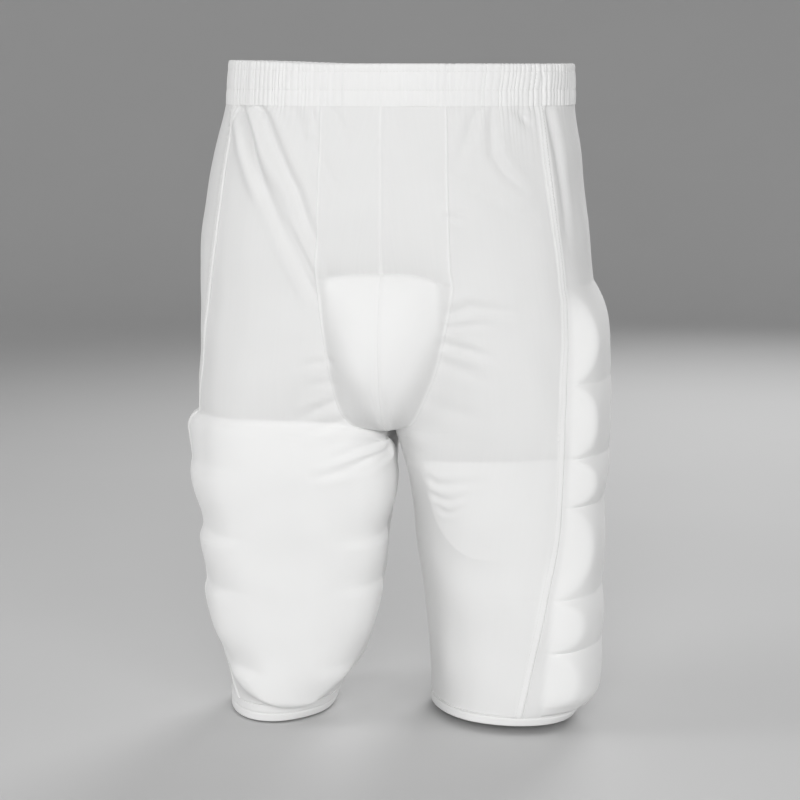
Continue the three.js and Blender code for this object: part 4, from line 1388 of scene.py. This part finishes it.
def stitch_tree():
    tree = bpy.data.node_groups.new("stitch_row", "GeometryNodeTree")
    tree.interface.new_socket("Line", in_out="INPUT", socket_type="NodeSocketGeometry")
    for name, size in STITCH_SIZES.items():
        tree.interface.new_socket(name, in_out="INPUT", socket_type="NodeSocketFloat").default_value = size
    tree.interface.new_socket("Thread", in_out="INPUT", socket_type="NodeSocketMaterial")
    tree.interface.new_socket("Stitches", in_out="OUTPUT", socket_type="NodeSocketGeometry")
    given = node(tree, "NodeGroupInput").outputs

    def step(kind, inputs, **settings):
        return node(tree, kind, inputs, **settings).outputs[0]

    line = step("GeometryNodeMeshToCurve", {"Mesh": given["Line"]})
    spaced = step("GeometryNodeResampleCurve", {"Curve": line, "Length": given["Pitch"]}, mode="LENGTH")
    bead = step("GeometryNodeMeshUVSphere", STITCH_BEAD)
    size = step("ShaderNodeCombineXYZ", {
        "X": given["Length"], "Y": given["Width"], "Z": given["Height"],
    })
    thread = step("GeometryNodeTransform", {"Geometry": bead, "Scale": size})
    forward = step("GeometryNodeInputTangent", {})
    outward = step("GeometryNodeInputNamedAttribute", {"Name": "outward"}, data_type="FLOAT_VECTOR")
    along = step("FunctionNodeAlignRotationToVector", {"Vector": forward}, axis="X")
    turned = step(
        "FunctionNodeAlignRotationToVector", {"Rotation": along, "Vector": outward}, axis="Z", pivot_axis="X",
    )
    placed = step("GeometryNodeInstanceOnPoints", {
        "Points": spaced, "Instance": thread, "Rotation": turned,
    })
    real = step("GeometryNodeRealizeInstances", {"Geometry": placed})
    smoothed = step("GeometryNodeSetShadeSmooth", {"Geometry": real})
    coloured = step("GeometryNodeSetMaterial", {"Geometry": smoothed, "Material": given["Thread"]})
    node(tree, "NodeGroupOutput", {"Stitches": coloured})
    return tree


STITCH_TREE = stitch_tree()


def line_carrier(name, lines):
    """An object of bare edges along the lines, with the outward direction at each of their points."""
    edges = []
    first = 0
    for line_points, _, closed in lines:
        count = len(line_points)
        edges += [(first + i, first + i + 1) for i in range(count - 1)]
        if closed:
            edges.append((first + count - 1, first))
        first += count
    points = np.concatenate([line[0] for line in lines])
    outward = np.concatenate([line[1] for line in lines])
    mesh = bpy.data.meshes.new(f"{name}_lines")
    mesh.from_pydata((points * MM).tolist(), edges, [])
    attribute = mesh.attributes.new("outward", "FLOAT_VECTOR", "POINT")
    attribute.data.foreach_set("vector", outward.ravel())
    carrier = bpy.data.objects.new(f"{name}_lines", mesh)
    bpy.context.collection.objects.link(carrier)
    return carrier


def stitch_rows(name, lines):
    """Stitches along lines, each given by its points, their outward directions and whether it closes."""
    carrier = line_carrier(name, lines)
    modifier = carrier.modifiers.new("stitches", "NODES")
    modifier.node_group = STITCH_TREE
    given = {**STITCH_SIZES, "Thread": THREAD}
    for socket in STITCH_TREE.interface.items_tree:
        if socket.name in given:
            modifier[socket.identifier] = given[socket.name]
    evaluated = carrier.evaluated_get(bpy.context.evaluated_depsgraph_get())
    made = bpy.data.objects.new(name, bpy.data.meshes.new_from_object(evaluated))
    bpy.data.objects.remove(carrier)
    bpy.context.collection.objects.link(made)
    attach(made, "root")


STITCH_PROUD = 0.12
SEAM_STITCHES = {"right": (1.6, 5.6), "left": (-1.6, -5.6)}
SEAM_STITCH_STEP = 1.5
SEAM_STITCH_START = SHELL_TOP - 1


def band_stitch_line(height):
    def offset_of(travel, z):
        return band_face(travel, z) + STITCH_PROUD

    points, normal, _ = band_places(np.array([height]), offset_of)
    return points[0], normal[0], True


def seam_stitch_line(half, beside):
    rows = Rows(half, np.arange(SEAM_STITCH_START, SHELL_BOTTOM, -SEAM_STITCH_STEP))
    p = places_at(rows, rows.lines["side_front"][:, None] + beside)
    points = p.point + p.normal * (relief_at(p) + STITCH_PROUD)[..., None]
    return points[:, 0], p.normal[:, 0], False


def hem_stitch_line(half):
    height = min(HEM_BOTTOM[half.label] + HEM.stitch_above, HEM_TOP - HEM.stitch_below_top)
    p = places_round(half, [height], HEM_SHARES)
    face = hem_face(half, np.array([height]))[0] + hem_wave(half) + STITCH_PROUD
    return p.point[0] + p.normal[0] * face[:, None], p.normal[0], True


stitch_rows("waistband_stitches", [band_stitch_line(height) for height in BAND.stitch_rows])
for half in HALVES:
    seam_lines = [seam_stitch_line(half, beside) for beside in SEAM_STITCHES[half.label]]
    stitch_rows(f"side_seam_{half.label}_stitches", seam_lines)
    stitch_rows(f"hem_{half.label}_stitches", [hem_stitch_line(half)])

# Stage, light and camera, in metres
FLOOR = SimpleNamespace(
    height=-0.5515, rings=(0.02, 0.6, 1.4, 2.2), flat_radius=3.0, curve=1.5, curve_rings=13, wall_top=2.4,
    sides=96, dark=(0.62, 0.62, 0.62, 1), light=(0.65, 0.65, 0.65, 1), scale=3.0, detail=3.0, roughness=0.9,
)


def floor_material():
    material, tree, shader = new_material("pale_floor")
    mottle = noise(tree, object_place(tree), scale=FLOOR.scale, detail=FLOOR.detail)
    set_inputs(tree, shader, {
        "Base Color": mixed(tree, mottle, FLOOR.dark, FLOOR.light),
        "Roughness": FLOOR.roughness,
    })
    return material


def make_floor():
    """A round pale floor that curves up into its own backdrop on every side."""
    angles = np.linspace(0, math.pi / 2, FLOOR.curve_rings)
    edge = FLOOR.flat_radius + FLOOR.curve
    radii = np.concatenate([FLOOR.rings, FLOOR.flat_radius + FLOOR.curve * np.sin(angles), [edge]])
    rises = np.concatenate([np.zeros(len(FLOOR.rings)), FLOOR.curve * (1 - np.cos(angles)), [FLOOR.wall_top]])
    turn = np.linspace(0, 2 * math.pi, FLOOR.sides, endpoint=False)
    x = radii[:, None] * np.cos(turn)
    y = radii[:, None] * np.sin(turn)
    z = np.broadcast_to((rises + FLOOR.height)[:, None], x.shape)
    number = np.arange(x.size).reshape(x.shape)
    following = np.roll(number, -1, axis=1)
    quads = np.stack([number[:-1], following[:-1], following[1:], number[1:]], axis=-1).reshape(-1, 4)
    faces = quads.tolist() + [number[0][::-1].tolist()]
    mesh = bpy.data.meshes.new("floor")
    mesh.from_pydata(np.stack([x, y, z], axis=-1).reshape(-1, 3).tolist(), [], faces)
    mesh.polygons.foreach_set("use_smooth", np.ones(len(faces), bool))
    mesh.materials.append(floor_material())
    floor = bpy.data.objects.new("floor", mesh)
    bpy.context.collection.objects.link(floor)


LIGHT_SIZE = 1.5
LIGHT_AIM = (0.0, 0.0, -0.3)
BEAM_SPREAD = math.radians(90)
# Each light's name, place and power
LIGHTS = (
    ("key", (0.35, -3.15, 0.65), 11.4),
    ("right_fill", (1.75, -2.55, 0.5), 5.3),
    ("left_fill", (-2.9, -0.8, 0.5), 6.3),
    ("back", (0.6, 3.1, 0.9), 13.5),
)
WORLD_COLOUR = (1, 1, 1, 1)
WORLD_STRENGTH = 0.36


def area_light(name, place, power):
    data = bpy.data.lights.new(name, "AREA")
    data.shape = "DISK"
    data.size = LIGHT_SIZE
    data.energy = power
    data.spread = BEAM_SPREAD
    light = bpy.data.objects.new(name, data)
    across, deep, up = np.subtract(LIGHT_AIM, place)
    light.location = place
    pitch = math.pi / 2 + math.atan2(up, math.hypot(across, deep))
    light.rotation_euler = (pitch, 0, math.atan2(-across, deep))
    bpy.context.collection.objects.link(light)


make_floor()
for name, place, power in LIGHTS:
    area_light(name, place, power)

world = bpy.data.worlds.new("studio")
world.use_nodes = True
world.node_tree.nodes["Background"].inputs["Color"].default_value = WORLD_COLOUR
world.node_tree.nodes["Background"].inputs["Strength"].default_value = WORLD_STRENGTH
bpy.context.scene.world = world
bpy.context.scene.view_settings.view_transform = "Standard"

CAMERA = SimpleNamespace(
    azimuth=math.radians(8.2), pitch=math.radians(8.7), distance=1.9, height=0.016, lens=98.28, sensor=36,
)
camera_data = bpy.data.cameras.new("camera")
camera_data.sensor_width = CAMERA.sensor
camera_data.lens = CAMERA.lens
camera = bpy.data.objects.new("camera", camera_data)
camera.location = (
    CAMERA.distance * math.sin(CAMERA.azimuth), -CAMERA.distance * math.cos(CAMERA.azimuth), CAMERA.height,
)
camera.rotation_euler = (math.pi / 2 - CAMERA.pitch, 0, CAMERA.azimuth)
bpy.context.collection.objects.link(camera)
bpy.context.scene.camera = camera
